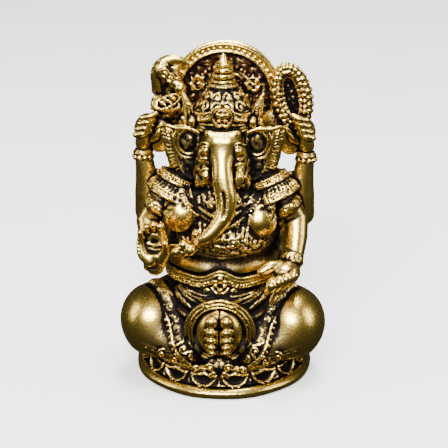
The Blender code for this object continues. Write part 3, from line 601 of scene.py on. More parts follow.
def sculpt_plinth():
    """Round plinth with soft edges."""
    clay = Clay("plinth")
    radius, half = clay.spot.half[0], clay.spot.half[2]
    clay.lathe(clay.spot.mid, [(radius - 0.3, -half), (radius, -half + 0.3), (radius, half - 0.45),
                               (radius - 0.45, half)])
    clay.relief(lambda x, y, z: 0.05 * np.sin(np.arctan2(y, x) * 9))


def sculpt_lotus(sizes):
    """Drum with a ring of petals that hang tip down, and a beaded hem above them."""
    clay = Clay("lotus_seat")
    radius = clay.spot.half[0] - 0.95
    bottom, top = clay.spot.low[2] - 0.25, clay.spot.high[2]
    clay.lathe((0, 0, 0), [(radius + 0.75, bottom), (radius + 0.2, bottom + 0.4),
                           (radius - 0.1, bottom + 1.5), (radius - 0.45, top - 0.5),
                           (radius - 0.1, top - 0.2), (radius - 0.3, top)])

    def petals(x, y, z):
        u = across_cell(x, y, sizes.petal_count)
        v = (z - bottom - 0.05) / 1.95
        width = 0.97 * (1 - (1 - np.clip(v, 0, 1)) ** 2.6) ** 0.55
        edge = np.minimum(width - np.abs(u), (0.97 - v + 0.05 * np.cos(u * 5)) * 0.8)
        body = np.clip(edge / 0.1, 0, 1)
        lip = np.exp(-((edge - 0.12) / 0.07) ** 2)
        dish = np.clip((edge - 0.15) / 0.25, 0, 1)
        between = np.exp(-((1 - np.abs(u)) / 0.09) ** 2) * np.exp(-((v - 0.3) / 0.22) ** 2)
        return 0.3 * body + 0.3 * lip - 0.28 * dish + 0.3 * between - 0.05

    clay.relief(petals, (-20, -20, bottom - 0.2), (20, 20, top - 0.45), 1.2)
    for height, reach, size in ((top - 0.35, radius + 0.02, 0.16), (bottom + 2.05, radius, 0.12)):
        clay.bar(ring((0, 0, height), (reach, 0, 0), (0, reach, 0), 200), size)


# ---------------------------------------------------------------- sculpting: body

def sculpt_torso():
    """Round belly over a soft fold, breasts, shoulders, and the bead strings on them."""
    clay = Clay("torso", 1.5)
    low = clay.spot.low[2]
    for middle, radii, blend in (((0, -0.9, 9.4), (6.2, 4.6, 4.8), 0.6),
                                 ((0.3, -1.5, 5.4), (6.6, 6.35, 4.4), 1.4),
                                 ((-0.1, -1.4, 1.9), (7.6, 6.6, 2.5), 1.6),
                                 ((0.3, -4.0, 8.8), (2.3, 2.9, 4.6), 1.2),  # web behind the trunk
                                 ((0, -2.5, 8.7), (5.2, 3.5, 4.8), 0.8),
                                 ((0, 1.2, 1.5), (8.6, 3.4, 4.2), 0.8)):
        clay.hold((0, 0, low))
        clay.ball(middle, radii, blend=blend)
    for sign in (-1, 1):  # web of the casting between the body and the arms
        clay.hold((0, 0, low), sign)
        clay.ball((6.9, 1.0, 6.6), (2.0, 1.3, 5.5), blend=0.8)
    breasts = []
    for sign, across, up, wide in ((-1, 5.3, 8.6, 2.5), (1, 4.9, 7.9, 2.35)):
        clay.hold((0, 0, low), sign)
        clay.ball((6.0, -0.4, 2 * clay.spot.half[2] - 2.9), 2.9, blend=1.2)
        clay.ball((across, -4.2, up), (wide, 2.3, wide), blend=0.45)
        clay.ball((across + 0.3, -3.6, up + 1.6), (2.0, 1.8, 2.4), blend=0.8)
        clay.ball((2.6, 2.6, 9.5), (2.8, 1.9, 4.0), blend=1.2)
        breasts.append(clay.placed((across, -5.6, up - 0.2)))
    clay.hold((0, 0, low))
    clay.bar([(0, 4.9, 13), (0, 3.9, 8), (0, 4.4, 4)], 0.4, 0.5, cut=True, step=0.6)

    def cloth(x, y, z):
        bare = (z > low + 4.3) * (y < 1.5)
        for breast in breasts:
            away = np.sqrt((x - breast[0]) ** 2 + (y - breast[1]) ** 2 + (z - breast[2]) ** 2)
            bare = bare * np.clip((away - 1.5) / 0.7, 0, 1)
        return bare

    clay.stipple(0.12, cloth)
    # the cord of beads that lies in the fold, a net of beads above it, and strings beside the trunk
    rows = [([(-6.0, rise + 0.6), (-3.2, rise), (0, rise - 0.3), (3.2, rise), (6.0, rise + 0.6)],
             0.05, size, None) for rise, size in ((4.1, 0.15), (4.6, 0.15), (5.1, 0.17))]
    rows += [([(-3.0 + 0.6 * row, 5.6 + 0.5 * row), (0.8, 5.4 + 0.5 * row),
               (4.4 - 0.5 * row, 5.7 + 0.5 * row)], 0.03, 0.2, 0.62) for row in range(3)]
    rows += [([(across, 11.3), (across * 0.96, 8.6), (across * 0.9, 6.6)], 0.05, 0.2, 0.42)
             for across in (-3.7, -3.0, -2.3, 2.4, 3.1, 3.8)]
    clay.hold((0, 0, 0))
    for outline, sink, size, pitch in rows:
        clay.beads(laid("torso", [(x, low + z) for x, z in outline], sink), size, pitch)


def sculpt_hips(sizes):
    """Wrapped cloth round the hips, with folds that fall down the back."""
    clay = Clay("hips")
    low, middle, high = clay.spot.low[2], clay.spot.mid[1], clay.spot.high[2]
    clay.ball((0, middle, high - 6.0), (7.6, 6.6, 6.2), blend=0.5)
    clay.lathe((0, middle + 0.6, 0), [(8.3, low - 0.2), (7.7, low + 2.0), (6.6, low + 5.5)], 1.2)

    def folds(x, y, z):
        angle = np.arctan2(x, y - middle)
        depth = sizes.fold_depth * np.clip((high - 1.5 - z) / 3, 0, 1)
        return depth * np.sin(angle * 26 + np.sin(z * 0.9)) * (y > -2)

    clay.relief(folds)


def sculpt_leg(side):
    """Smooth folded leg: knee, thigh and shin, and the folds of the hem under the knee."""
    clay = Clay(side + "_leg")
    spot, sign = clay.spot, sign_of(side)
    clay.hold((spot.at(sign, 0, 0)[0] - sign * 4.35, spot.mid[1] - 0.3, spot.low[2] + 4.6), sign)
    clay.ball((0, 0, 0), (4.4, 5.1, 4.7), turn=(0, -10, 0), blend=0.5)
    clay.bar([(-5.3, 3.4, 1.8), (-0.2, 0.2, 0.7)], [4.5, 4.0], 1.0)
    clay.bar([(0.3, -2.2, -1.6), (-4.1, -4.0, -1.9), (-6.6, -4.6, -1.4)], [2.4, 2.3, 2.0], 1.4, step=1.0)
    clay.hold((0, 0, 0))
    for i in range(5):
        outline = [(sign * (10.6 - 0.3 * i), spot.low[2] + 3.0 - 0.52 * i),
                   (sign * 7.8, spot.low[2] + 2.3 - 0.46 * i), (sign * 5.0, spot.low[2] + 2.5 - 0.42 * i)]
        clay.bar(laid(["lotus_seat", clay.node], outline, 0.02), 0.19 if i % 2 else 0.13, 0.06)


def sculpt_lap(sizes):
    """Cloth over the lap, with radial folds beside the feet."""
    clay = Clay("lap_cloth")
    clay.hold((0, -4.3, clay.spot.mid[2] - 1.2))
    clay.ball((0, 0, 0), (8.3, 5.1, 6.4), blend=0.5)
    clay.ball((0, -0.5, 4.0), (6.6, 4.0, 3.2), blend=1.0)
    feet = Spot("left_foot").mid[2]

    def folds(x, y, z):
        angle = np.arctan2(np.abs(x), z - feet)
        away = np.sqrt(x * x + (z - feet) ** 2)
        rays = np.sin(angle * 22) * np.clip((away - 4.4) / 0.5, 0, 1) * (angle > 0.9)
        return sizes.fold_depth * 1.6 * rays * (y < -5)

    clay.relief(folds, clay.spot.low - 1.5, clay.spot.high + 1.5)
    clay.stipple(0.05, lambda x, y, z: z > feet + 3.5)


def sculpt_foot(side):
    """One sole: a smooth domed side and a column of toes beside the middle groove."""
    clay = Clay(side + "_foot", 1.4)
    sign = sign_of(side)
    clay.hold((0, clay.spot.high[1] - 0.85, clay.spot.mid[2] + 0.05), sign)
    clay.ball((0.1, 0, 0), (3.0, 1.85, 3.3))
    toes = ((0.98, 2.1, 0.86, 0.8), (0.98, 0.78, 0.72, 0.6), (0.98, -0.36, 0.68, 0.52),
            (0.94, -1.36, 0.6, 0.46), (0.86, -2.25, 0.5, 0.4))
    for i, (across, up, wide, tall) in enumerate(toes):
        face = 0.3 * ((up - 0.2) / 2.2) ** 2 - 1.95
        clay.ball((across, face, up), (wide, 0.62, tall), blend=0.05)
        if i:
            clay.bar([(across + wide * 0.55, face + 0.1, up + tall * 0.95),
                      (across + wide + 0.22, face + 0.25, up),
                      (across + wide * 0.55, face + 0.1, up - tall * 0.95)], 0.15, 0.04, step=0.2)
    clay.bar([(0, -2.25, -3.2), (0, -2.25, 3.2)], 0.4, 0.12, cut=True)
    clay.bar([(0, -1.55, -3.3), (0, -1.55, 3.3)], 0.24, cut=True)
    clay.press(clay.origin - 9, clay.origin + 9, lambda x, y, z: sign * x - 0.06, 0.02, cut=True)


def sculpt_foot_frame():
    """Oval hem round the feet: smooth double line, dark channel and a beaded line."""
    clay = Clay("foot_frame", 3.4)
    foot = Spot("right_foot")
    for reach, back, size, blend in ((4.15, 0.55, 0.6, 0.05), (3.68, -0.15, 0.15, 0.04),
                                     (4.12, -0.15, 0.15, 0.04), (4.6, 0.05, 0.17, 0.04)):
        clay.bar(ring((0, foot.high[1] - 0.9 + back, foot.mid[2]), (reach, 0, 0), (0, 0, reach - 0.02),
                      110), size, blend)


def sculpt_hem(side):
    """Ornamental hem: scrolls and flowers between two lines, and a lobed outer edge."""
    clay = Clay(side + "_hem", 2.6)
    sign, low = sign_of(side), clay.spot.low[2]
    outline = [(sign * across, low + up) for across, up in (
        (9.3, 9.2), (7.6, 8.2), (6.4, 6.8), (5.65, 5.1), (5.25, 3.6), (4.5, 2.2), (3.0, 1.1), (1.4, 0.55),
        (0.0, 0.2))]
    band = laid([side + "_leg", "lap_cloth", "lotus_seat", "foot_frame"], outline, 0.0, 0.4)
    smooth = curve(band[::4], 0.3)
    clay.bar(smooth, 1.1, squash=((0, -1, 0.25), 2.6))
    tangent = np.gradient(smooth, axis=0)
    tangent /= np.linalg.norm(tangent, axis=1)[:, None]
    beside = np.cross(tangent, (0, -1, 0.3))
    beside /= np.linalg.norm(beside, axis=1)[:, None]
    ahead = np.array([0, -0.42, 0.1])
    clay.stipple(0.05)
    for offset in (1.05, -1.05):
        clay.bar(smooth + beside * offset + ahead * 0.75, 0.16, 0.03)
    for i, point in enumerate(evenly(smooth - beside * sign * 1.35, 0.85)):
        clay.ball(point + ahead * 0.2, 0.36 if i % 2 else 0.28, blend=0.05)
    for i, point in enumerate(evenly(smooth, 1.5)[:-1]):
        j = np.argmin(np.linalg.norm(smooth - point, axis=1))
        outward = beside[j] * (1 if i % 2 else -1)
        clay.scroll(point + ahead * 1.05, tangent[j], outward, 0.66, 0.16)
        clay.bar([point + ahead * 1.05 + tangent[j] * 0.6 - outward * 0.1,
                  point + ahead + tangent[j] * 0.9 - outward * 0.75], 0.15, 0.03)
    # flower of two scrolls where the hems meet
    clay.hold(smooth[-1] + (0, -0.55, 0), sign)
    clay.scroll((0.75, 0, 0.15), (1, 0, 0), (0, 0, 1), 0.62, 0.19)
    clay.ball((0.25, -0.1, -0.6), 0.32, blend=0.05)
    clay.hold((0, 0, 0))
    # foliage beside the front petals
    for across, up, size in ((4.6, -0.1, 0.75), (6.1, 0.5, 0.95), (7.8, 1.1, 0.8), (3.2, -0.5, 0.5)):
        place, = drop(["lotus_seat", side + "_leg"], sign * across, Spot("lotus_seat").high[2] + up)
        if place is not None:
            clay.scroll(place + (0, -0.1, 0), (-sign, 0, 0.2), (0, 0, 1), size, 0.2)


def sculpt_swag(side):
    """Three parallel cords of the sash, and the pleats under them."""
    clay = Clay(side + "_swag", 2.2)
    top = clay.spot.low[2]
    for rise, thick in ((0.0, 0.2), (0.5, 0.24), (1.0, 0.2), (1.7, 0.14), (2.2, 0.14)):
        outline = [(sign_of(side) * across, top + up + rise * share) for across, up, share in (
            (6.7, 2.5, 0.6), (5.2, 1.3, 0.8), (3.4, 0.55, 1), (1.7, 0.45, 0.95), (0.5, 0.95, 0.8))]
        path = laid(["lap_cloth", side + "_leg", "hips", "foot_frame"], outline)
        clay.bar(path[::3], thick, step=0.25)


def sculpt_belt():
    """Belt under the belly: two lines that dip and then rise to a peak over the clasp."""
    clay = Clay("belt", 2.0)
    spot = clay.spot
    angles = np.linspace(0, math.tau, 200)

    def line(rise, out):
        x = (spot.half[0] + 0.35 + out) * np.cos(angles)
        front = np.clip(-np.sin(angles) * 3, 0, 1)
        peak = 0.95 * np.exp(-(x / 1.5) ** 2) - 0.2 * np.exp(-((np.abs(x) - 3.0) / 1.5) ** 2)
        return np.stack([x, spot.mid[1] + (spot.half[1] + 0.25 + out) * np.sin(angles),
                         spot.low[2] + 0.85 + rise + peak * front], axis=1)

    clay.bar(line(-0.1, -0.65), 0.6)
    clay.bar(line(0.25, -0.1), 0.18)
    clay.bar(line(-0.2, 0.0), 0.15)
    clay.beads(line(-0.6, 0.0), 0.18, 0.4)
    clay.bar(line(-0.95, 0.0), 0.15)


def sculpt_clasp():
    """Mask of a fanciful lion on the belt: brow, eyes, nose and curled mane."""
    clay = Clay("belt_clasp", 2.0)
    middle = clay.spot.mid + (0, 0.1, -0.35)
    clay.hold(middle)
    clay.ball((0, 0, 0), (1.4, 0.95, 1.75))
    clay.ball((0, -1.05, -0.25), (0.42, 0.45, 0.34), blend=0.05)
    clay.ball((0, -0.95, 1.25), (0.4, 0.4, 0.5), blend=0.05)
    for sign in (-1, 1):
        clay.hold(middle, sign)
        clay.ball((0.62, -1.0, 0.3), 0.33, blend=0.03)
        for line, thick in (([(0.15, -0.95, 0.7), (0.75, -1.0, 0.95), (1.35, -0.65, 0.5)], 0.19),
                            ([(0, -0.95, -0.8), (0.6, -0.95, -0.68), (1.15, -0.7, -0.1)], 0.18),
                            ([(0, -0.85, -1.4), (0.7, -0.8, -1.25), (1.3, -0.55, -0.6)], 0.18)):
            clay.bar(line, thick, 0.03, step=0.2)
        clay.scroll((1.75, -0.4, 0.75), (-1, 0, 0), (0, 0, 1), 0.65, 0.2)
        clay.scroll((1.7, -0.3, -0.65), (-1, 0, 0), (0, 0, -1), 0.6, 0.19)
        clay.bar([(0.2, -0.7, 1.75), (0.9, -0.7, 1.5), (1.5, -0.5, 1.3)], 0.2, 0.03, step=0.2)


def sculpt_necklace():
    """Collar: a cord, a row of beads and a second cord, with pendants under them."""
    clay = Clay("necklace", 2.8)
    top, low, wide = clay.spot.high[2], clay.spot.low[2], clay.spot.half[0]
    for shift, thick, lay in ((0.0, 0.24, clay.bar), (0.5, 0.22, clay.beads), (1.0, 0.22, clay.bar),
                              (1.5, 0.26, clay.beads)):
        right = [(-wide - shift, top + 1.2), (-wide * 0.9 - shift * 0.8, top - 0.9),
                 (-wide * 0.6 - shift * 0.5, low + 2.0 - shift * 0.4)]
        outline = right + [(0, low + 1.2 - shift)] + [(-x, z) for x, z in reversed(right)]
        lay(curve(laid("torso", outline, 0.05)[::4], 0.25), thick)


# ---------------------------------------------------------------- sculpting: head and crown

def sculpt_head():
    """Elephant's head: broad smooth brow, almond eyes with folded pads, and a small jaw."""
    clay = Clay("head", 1.4)
    skull = skull_middle()
    clay.hold(skull)
    for middle, radii, blend in (((0, 0, 0), (3.65, 4.0, 4.1), 0.6), ((0, -1.7, -2.4), (2.5, 2.4, 3.2), 0.9),
                                 ((0, 0.4, -3.4), (3.3, 2.9, 2.6), 0.9), (BROW_STEP, (2.85, 2.15, 1.9), 0.5),
                                 ((0, -2.2, -1.2), (3.3, 2.6, 4.2), 0.8)):
        clay.ball(middle, radii, blend=blend)
    for sign in (-1, 1):
        clay.hold(skull, sign)
        clay.ball((2.4, -1.5, -3.3), (1.5, 1.9, 3.2), blend=0.8)
        clay.hold(skull + (sign * 2.1 + 0.05, -4.3, 1.0), sign)
        clay.ball((0.1, -0.35, -0.05), (0.95, 0.9, 0.7), blend=0.15, cut=True)
        clay.ball((0, 0.05, 0), (0.6, 0.6, 0.44), turn=(0, 14, 0), blend=0.02)
        for rise, thick in ((0.62, 0.17), (-0.55, 0.15)):  # lids
            clay.bar([(-0.95, 0, 0), (0, -0.2, rise), (0.95, 0.5, -0.1)], thick, 0.03, step=0.15)
        clay.bar([(-0.7, -0.1, 0.75), (0.1, -0.05, 1.05), (0.95, 0.6, 0.6)], 0.14, step=0.15)
        for across, deep, up, wide in ((0.0, 0.3, -1.15, 0.75), (-0.05, 0.45, -1.95, 0.65)):  # pads
            clay.ball((across, deep, up), (wide, 0.45, 0.36), turn=(0, 10, 0), blend=0.12)
            clay.bar([(across - wide, deep, up + 0.2), (across, deep - 0.3, up - 0.4),
                      (across + wide, deep + 0.25, up + 0.15)], 0.12, 0.03, step=0.15)
        clay.hold(skull, sign)
        for i in range(5):
            clay.bar([(3.0 + 0.1 * i, -2.3 + 0.2 * i, 0.3 - 0.75 * i), (3.6 + 0.05 * i, -0.9, -0.75 * i)],
                     0.15, 0.1)
    clay.stipple(0.12, lambda x, y, z: (z < skull[2] - 0.6) * (np.abs(x) > 1.6))


def sculpt_trunk():
    """Trunk that grows out of the brow, with a groove low down and a curled tip."""
    clay = Clay("trunk", 1.5)
    clay.hold(skull_middle())
    path = curve(((0.1, -3.1, 2.4), (0.1, -3.7, 1.2), (0.15, -4.7, -0.6), (0.3, -5.6, -2.7),
                  (0.75, -6.3, -5.0), (0.55, -6.9, -6.9), (-0.35, -7.5, -8.4), (-1.6, -8.1, -9.6),
                  (-2.7, -8.2, -10.1)), 0.35)
    clay.bar(path, [1.32, 1.28, 1.3, 1.38, 1.4, 1.28, 1.12, 0.92, 0.7], 0.5, squash=((0, 1, 0.3), 1.3))
    clay.block(BROW_STEP + (0, -0.35, 0.1), (2.4, 1.85, 1.65), 0.75, blend=0.7)
    clay.block((0.1, -3.75, 1.0), (1.65, 1.0, 1.7), 0.75, blend=0.9)
    clay.ball((0, -0.9, 5.0), (6, 6, 1.75), cut=True)
    run = run_along(path)
    for along in np.arange(9.5, run[-1] - 0.5, 0.8):  # wrinkles
        i = int(np.searchsorted(run, along))
        side, up = across_way(path[min(i + 1, len(path) - 1)] - path[i - 1], (0, 1, 0))
        radius = np.interp(i / len(path), np.linspace(0, 1, 5), [1.25, 1.22, 1.36, 1.12, 0.75]) + 0.06
        clay.bar(ring(path[i], side * radius, up * radius, 24), 0.09, 0.12, cut=True)
    groove = [point + (-0.15, -1.1, 0) for point in path if -7.2 < point[2] < -3.6]
    clay.bar(groove, 0.2, 0.2, cut=True)
    clay.ball(path[-1] + (-0.35, -0.1, 0.1), (0.42, 0.4, 0.4), blend=0.12, cut=True)


def sculpt_tusk(side):
    """Tusk in its fleshy socket: a long pointed one and a short stub."""
    clay = Clay(side + "_tusk", 1.2)
    at = clay.spot.at
    start = at(0, 0.3, 0.95)
    if side == "left":
        clay.bar([start + (0.45, -0.3, 0.0), at(1.1, -2.0, 0.0), at(0.3, -2.9, -1.1)],
                 [0.6, 0.62, 0.42, 0.12], 0.1, step=0.25)
        clay.bar([start + (0.9, -0.9, 0.3), start + (0.5, -1.3, 0.5), start + (-0.1, -1.1, 0.2)],
                 0.2, 0.08, step=0.2)
    else:
        clay.bar([start, at(0, -1.2, -0.5)], [0.62, 0.5], 0.1)
        clay.bar(ring(at(0, -0.9, 0.1), (0.62, 0, 0), (0, -0.2, 0.45), 24), 0.15)
        clay.ball(at(-0.1, -1.5, -0.8), (0.36, 0.3, 0.3), blend=0.05)


def sculpt_ear(side):
    """Ear: ribbed outer border, double ring round a dished disc, and a rolled upper edge."""
    clay = Clay(side + "_ear", 2.0)
    spot, sign = clay.spot, sign_of(side)
    clay.hold((spot.at(-sign, 0, 0)[0] + sign * 2.2, spot.mid[1], spot.high[2] - 4.1), sign)

    def on_ear(points, forward=0.0):
        return [np.array([across, 0.16 * across - 0.3 - forward, up]) for across, up in points]

    outline = ((2.6, 3.3), (2.25, 1.9), (1.8, 0.2), (1.45, -1.5), (0.9, -3.0), (0.1, -4.2), (-0.8, -4.7))
    inline = ((1.15, 2.9), (0.95, 1.5), (0.65, 0.0), (0.25, -1.5), (-0.3, -2.6), (-0.9, -3.3), (-1.5, -3.6))
    clay.bar(on_ear([(-2.4, 2.2), (-2.6, -0.6)], -0.3) + on_ear([(-1.9, -2.8)], -0.2), [1.0, 1.0, 0.8], 0.4)
    for place, radii, lean, blend in (((0.1, 1.7), (2.3, 0.5, 1.9), 0, 0.1),
                                      ((-0.2, -0.6), (1.95, 0.5, 2.6), 12, 0.4),
                                      ((-0.7, -2.7), (1.4, 0.5, 1.9), 12, 0.4)):
        clay.ball(on_ear([place])[0], radii, turn=(0, lean, 9), blend=blend)
    clay.bar(on_ear(outline, -0.1), 0.4, 0.3)
    hub, = on_ear([(-1.05, 1.45)], 0.45)
    clay.ball(hub + (0, -0.1, 0), (1.5, 0.55, 1.7), cut=True)
    clay.ball(hub + (0, 0.5, 0), (1.4, 0.45, 1.55), blend=0.05)
    clay.stipple(0.07)
    for reach, thick in ((1.4, 0.17), (1.9, 0.2)):
        clay.bar(ring(hub + (0, 0.08, 0), (reach, 0, 0), (0, 0, reach * 1.15), 40, -175, 80), thick, 0.04)
    # ribs of the border, from an inner cord to the edge
    border, inward = curve(on_ear(outline, 0.25), 0.1), curve(on_ear(inline, 0.55), 0.1)
    clay.bar(inward, 0.17, 0.04)
    clay.bar(inward - (0.42, 0, 0), 0.13, 0.04)
    ribs = 17
    for i in range(ribs + 1):
        a, b = (line[int((len(line) - 1) * i / ribs)] for line in (border, inward))
        clay.bar([b, (a + b) / 2 + (0, -0.1, 0), a], [0.14, 0.18, 0.17], 0.03)
    roll = (on_ear([(-2.6, 2.75)], 0.4) + on_ear([(-1.2, 3.35), (0.6, 3.3)], 0.6)
            + on_ear([(1.9, 3.55)], 0.5) + on_ear([(2.9, 3.2)], 0.3) + on_ear([(3.2, 2.7)], 0.1))
    clay.bar(roll, [0.3, 0.26, 0.2], 0.06, step=0.25)
    clay.scroll(on_ear([(-0.2, -3.7)], 0.6)[0], (1, 0, 0), (0, 0, 1), 0.7, 0.2)


def sculpt_crown_band():
    """Diadem: two twisted cords that rise to the crest, and a double wavy edge over the brow."""
    clay = Clay("crown_band", 1.4)
    x, y, _ = clay.spot.mid
    radius = clay.spot.half[0] - 0.1
    bottom, top = clay.spot.low[2], clay.spot.high[2]
    clay.lathe((x, y, 0), [(radius - 0.1, bottom - 0.1), (radius, bottom + 0.9),
                           (radius - 0.35, top + 0.5)])
    angles = np.linspace(0, math.tau, 160)
    front = np.clip(-np.sin(angles), 0, 1)
    notch = np.exp(-(np.cos(angles) / 0.16) ** 2) * (front > 0)
    for height, out, lift, dip, size, pitch in (
            (-0.05, 0.1, 0.15, 0.35, 0.17, None), (0.32, 0.12, 0.15, 0.35, 0.15, None),
            (0.72, 0.12, 0.3, 0.3, 0.19, 0.36), (1.15, 0.1, 0.9, 0.0, 0.22, None),
            (1.5, 0.1, 1.0, 0.0, 0.17, 0.32), (1.9, 0.0, 1.0, 0.0, 0.22, None)):
        hoop = np.stack([x + (radius + out) * np.cos(angles), y + (radius + out) * np.sin(angles),
                         bottom + height + lift * front ** 6 - dip * notch], axis=1)
        if pitch:
            clay.beads(hoop, size, pitch)
        else:
            clay.bar(hoop, size, 0.04)
    for sign in (-1, 1):
        for i in range(3):
            clay.ball((x + sign * (radius + 0.15), y - 0.6 - 0.9 * i, bottom + 0.9), (0.45, 0.5, 0.75),
                      blend=0.08)


def sculpt_crown_dome(sizes):
    """Tall bell of the crown with long petals, beads and ring mouldings."""
    clay = Clay("crown_dome", 1.0)
    x, y, _ = clay.spot.mid
    low, high, wide = clay.spot.low[2], clay.spot.high[2], clay.spot.half[0]
    tall = high - low
    profile = [(wide - 0.1, low - 0.3), (wide - 0.15, low + 0.15 * tall), (wide * 0.86, low + 0.4 * tall),
               (wide * 0.68, low + 0.65 * tall), (wide * 0.53, low + 0.88 * tall),
               (wide * 0.47, high + 0.3)]
    clay.lathe((x, y, 0), profile)

    def petals(px, py, pz):
        v = np.clip((pz - low) / (0.8 * tall), 0, 1)
        edge = 0.95 * np.clip(1 - v ** 3, 0, 1) ** 0.7 - np.abs(across_cell(px - x, py - y,
                                                                            sizes.crown_petals))
        return 0.1 * np.exp(-(edge / 0.2) ** 2) - 0.03

    clay.relief(petals, high=clay.spot.at(1, 1, 0.75) + (1, 1, 0))
    # scrolls laid on the bell, row above row
    radii, heights = np.array(profile).T
    for part, size, number in ((0.24, 0.82, 12), (0.62, 0.6, 11)):
        height = low + part * tall
        reach = np.interp(height, heights, radii) + 0.02
        for i in range(number):
            angle = math.tau * (i + 0.5) / number - math.pi / 2
            out = np.array([math.cos(angle), math.sin(angle), 0])
            side = np.array([-out[1], out[0], 0]) * (1 if i % 2 else -1)
            clay.scroll(np.array([x, y, height]) + out * reach, side, np.array([0, 0, 1]) - 0.6 * out,
                        size, 0.13, lift=out * 0.08)
    for height, reach, size in ((low + 0.05, wide, 0.2), (high - 0.62, wide * 0.52, 0.15),
                                (high - 0.1, wide * 0.5, 0.2)):
        clay.beads(ring((x, y, height), (reach, 0, 0), (0, reach, 0), 80), size)


def sculpt_crown_spire():
    """Ringed spire and its bud."""
    clay = Clay("crown_spire", 0.8)
    x, y, _ = clay.spot.mid
    low, high, wide = clay.spot.low[2], clay.spot.high[2], clay.spot.half[0]
    clay.lathe((x, y, 0), [(wide, low - 0.4), (wide * 0.9, low + 0.4), (wide * 0.62, high - 1.2),
                           (wide * 0.4, high - 0.5), (0.1, high + 0.1)])
    for height, reach, size in ((0.1, 1.05, 0.3), (0.85, 0.95, 0.3), (1.6, 0.82, 0.27), (2.3, 0.66, 0.22)):
        clay.bar(ring((x, y, low + height), (wide * reach, 0, 0), (0, wide * reach, 0)), size, 0.08)
    clay.ball((x, y, high - 0.35), (0.42, 0.42, 0.55))


def sculpt_crest():
    """Heart-shaped frame with a small boss of petals, on the front of the diadem."""
    clay = Clay("crown_crest", 1.2)
    middle = clay.spot.mid + (0.15, 0, 0.35)
    clay.hold(middle)
    clay.ball((0, 0.35, 0), (1.35, 0.55, 1.35))
    half = [(0.75, 1.3), (1.4, 0.5), (1.2, -0.5), (0.55, -1.2)]
    heart = [(0, 1.35)] + half + [(0, -1.0)] + [(-across, up) for across, up in reversed(half)]
    clay.bar(curve([(across, -0.25, up) for across, up in heart], 0.2, True), 0.22)
    clay.ball((0, -0.3, 0.1), (0.36, 0.4, 0.6), blend=0.04)
    for sign in (-1, 1):
        clay.hold(middle, sign)
        clay.ball((0.62, -0.25, 0.3), (0.28, 0.3, 0.42), blend=0.04)
        clay.ball((0.48, -0.25, -0.5), 0.27, blend=0.04)
    clay.ball((0, -0.25, 1.75), (0.3, 0.3, 0.42), blend=0.06)


def sculpt_wing(side):
    """Flaring leaf beside the crown, with a rib and a curled tip."""
    clay = Clay(side + "_crown_wing", 1.2)
    sign = sign_of(side)
    foot, tip = clay.spot.at(-0.5 * sign, -0.1, -1), clay.spot.at(0.75 * sign, -0.1, 1)
    middle = (foot + tip) / 2 + (sign * -0.15, 0, -0.2)
    clay.bar([foot, middle, tip], [0.75, 0.8, 0.55, 0.2], 0.1, squash=((0, 1, 0), 1.5), step=0.3)
    for offset in (-0.55, 0, 0.5):
        shift = np.array([offset, -0.5, 0])
        clay.bar([foot + shift, middle + shift, tip + (0, -0.15, -0.1)], [0.18, 0.16, 0.12], step=0.3)
    clay.beads([foot + (sign * 0.9, -0.4, -0.4), foot + (sign * 1.0, -0.5, 0.6)], 0.26, step=0.3)


def halo_places():
    """Middle of the halo, its front and back, and the radii of its plate and of its rim."""
    plate, rim = Spot("halo_plate"), Spot("halo_rim")
    front, back = plate.low[1] + 0.25, plate.high[1]
    middle = np.array([rim.mid[0], (front + back) / 2, rim.mid[2]])
    return middle, front, back, plate.half[0], rim.half[0]


def sculpt_halo_plate():
    """Dark plate with festoons, lines of beads and two rosettes, and rays on its back."""
    plate = Clay("halo_plate", 1.0)
    middle, front, back, inner, _ = halo_places()
    x, _, z = middle
    half = (back - front) / 2
    plate.lathe(middle, [(inner + 0.2, -half + 0.3), (inner + 0.2, half - 0.3)], turn=UPRIGHT)

    def on_plate(reach, angle, y=front + 0.35):
        return (x + reach * math.sin(angle), y, z + reach * math.cos(angle))

    def sweep(reach, count, start, end):
        return ring((x, front + 0.35, z), (0, 0, reach), (reach, 0, 0), count, start, end)

    for i in range(9):
        a, b = (math.radians(-112 + 224 * (i + k) / 9) for k in (0, 1))
        for reach, sag, thick in ((inner - 0.1, 0.85, 0.14), (inner - 0.5, 0.9, 0.12)):
            plate.bar([on_plate(reach, a), on_plate(reach - sag, (a + b) / 2), on_plate(reach, b)], thick,
                      0.04, step=0.3)
    for reach, size, pitch in ((4.35, 0.2, 0.62), (2.9, 0.17, 0.6)):
        plate.beads(sweep(reach, 90, -120, 120), size, pitch)
    for reach in (3.9, 3.45):
        plate.bar(sweep(reach, 40, 20, 118), 0.13, 0.04)
    for sign in (-1, 1):  # rosettes
        hub = np.array([x + sign * 3.7, front + 0.15, z + 1.9])
        for reach, thick in ((0.85, 0.17), (0.5, 0.13)):
            plate.bar(ring(hub, (reach, 0, 0), (0, 0, reach), 30), thick, 0.04)
        plate.ball(hub, 0.26, blend=0.04)
        for point in ring(hub + (0, 0.05, 0), (1.12, 0, 0), (0, 0, 1.12), 9)[:-1]:
            plate.ball(point, 0.18, blend=0.04)
    plate.stipple(0.07, lambda px, py, pz: py < middle[1])
    for i in range(12):  # rays on the back
        angle = math.tau * i / 12
        plate.bar([on_plate(1.6, angle, back), on_plate(5.2, angle, back)], [0.3, 0.55], 0.15)


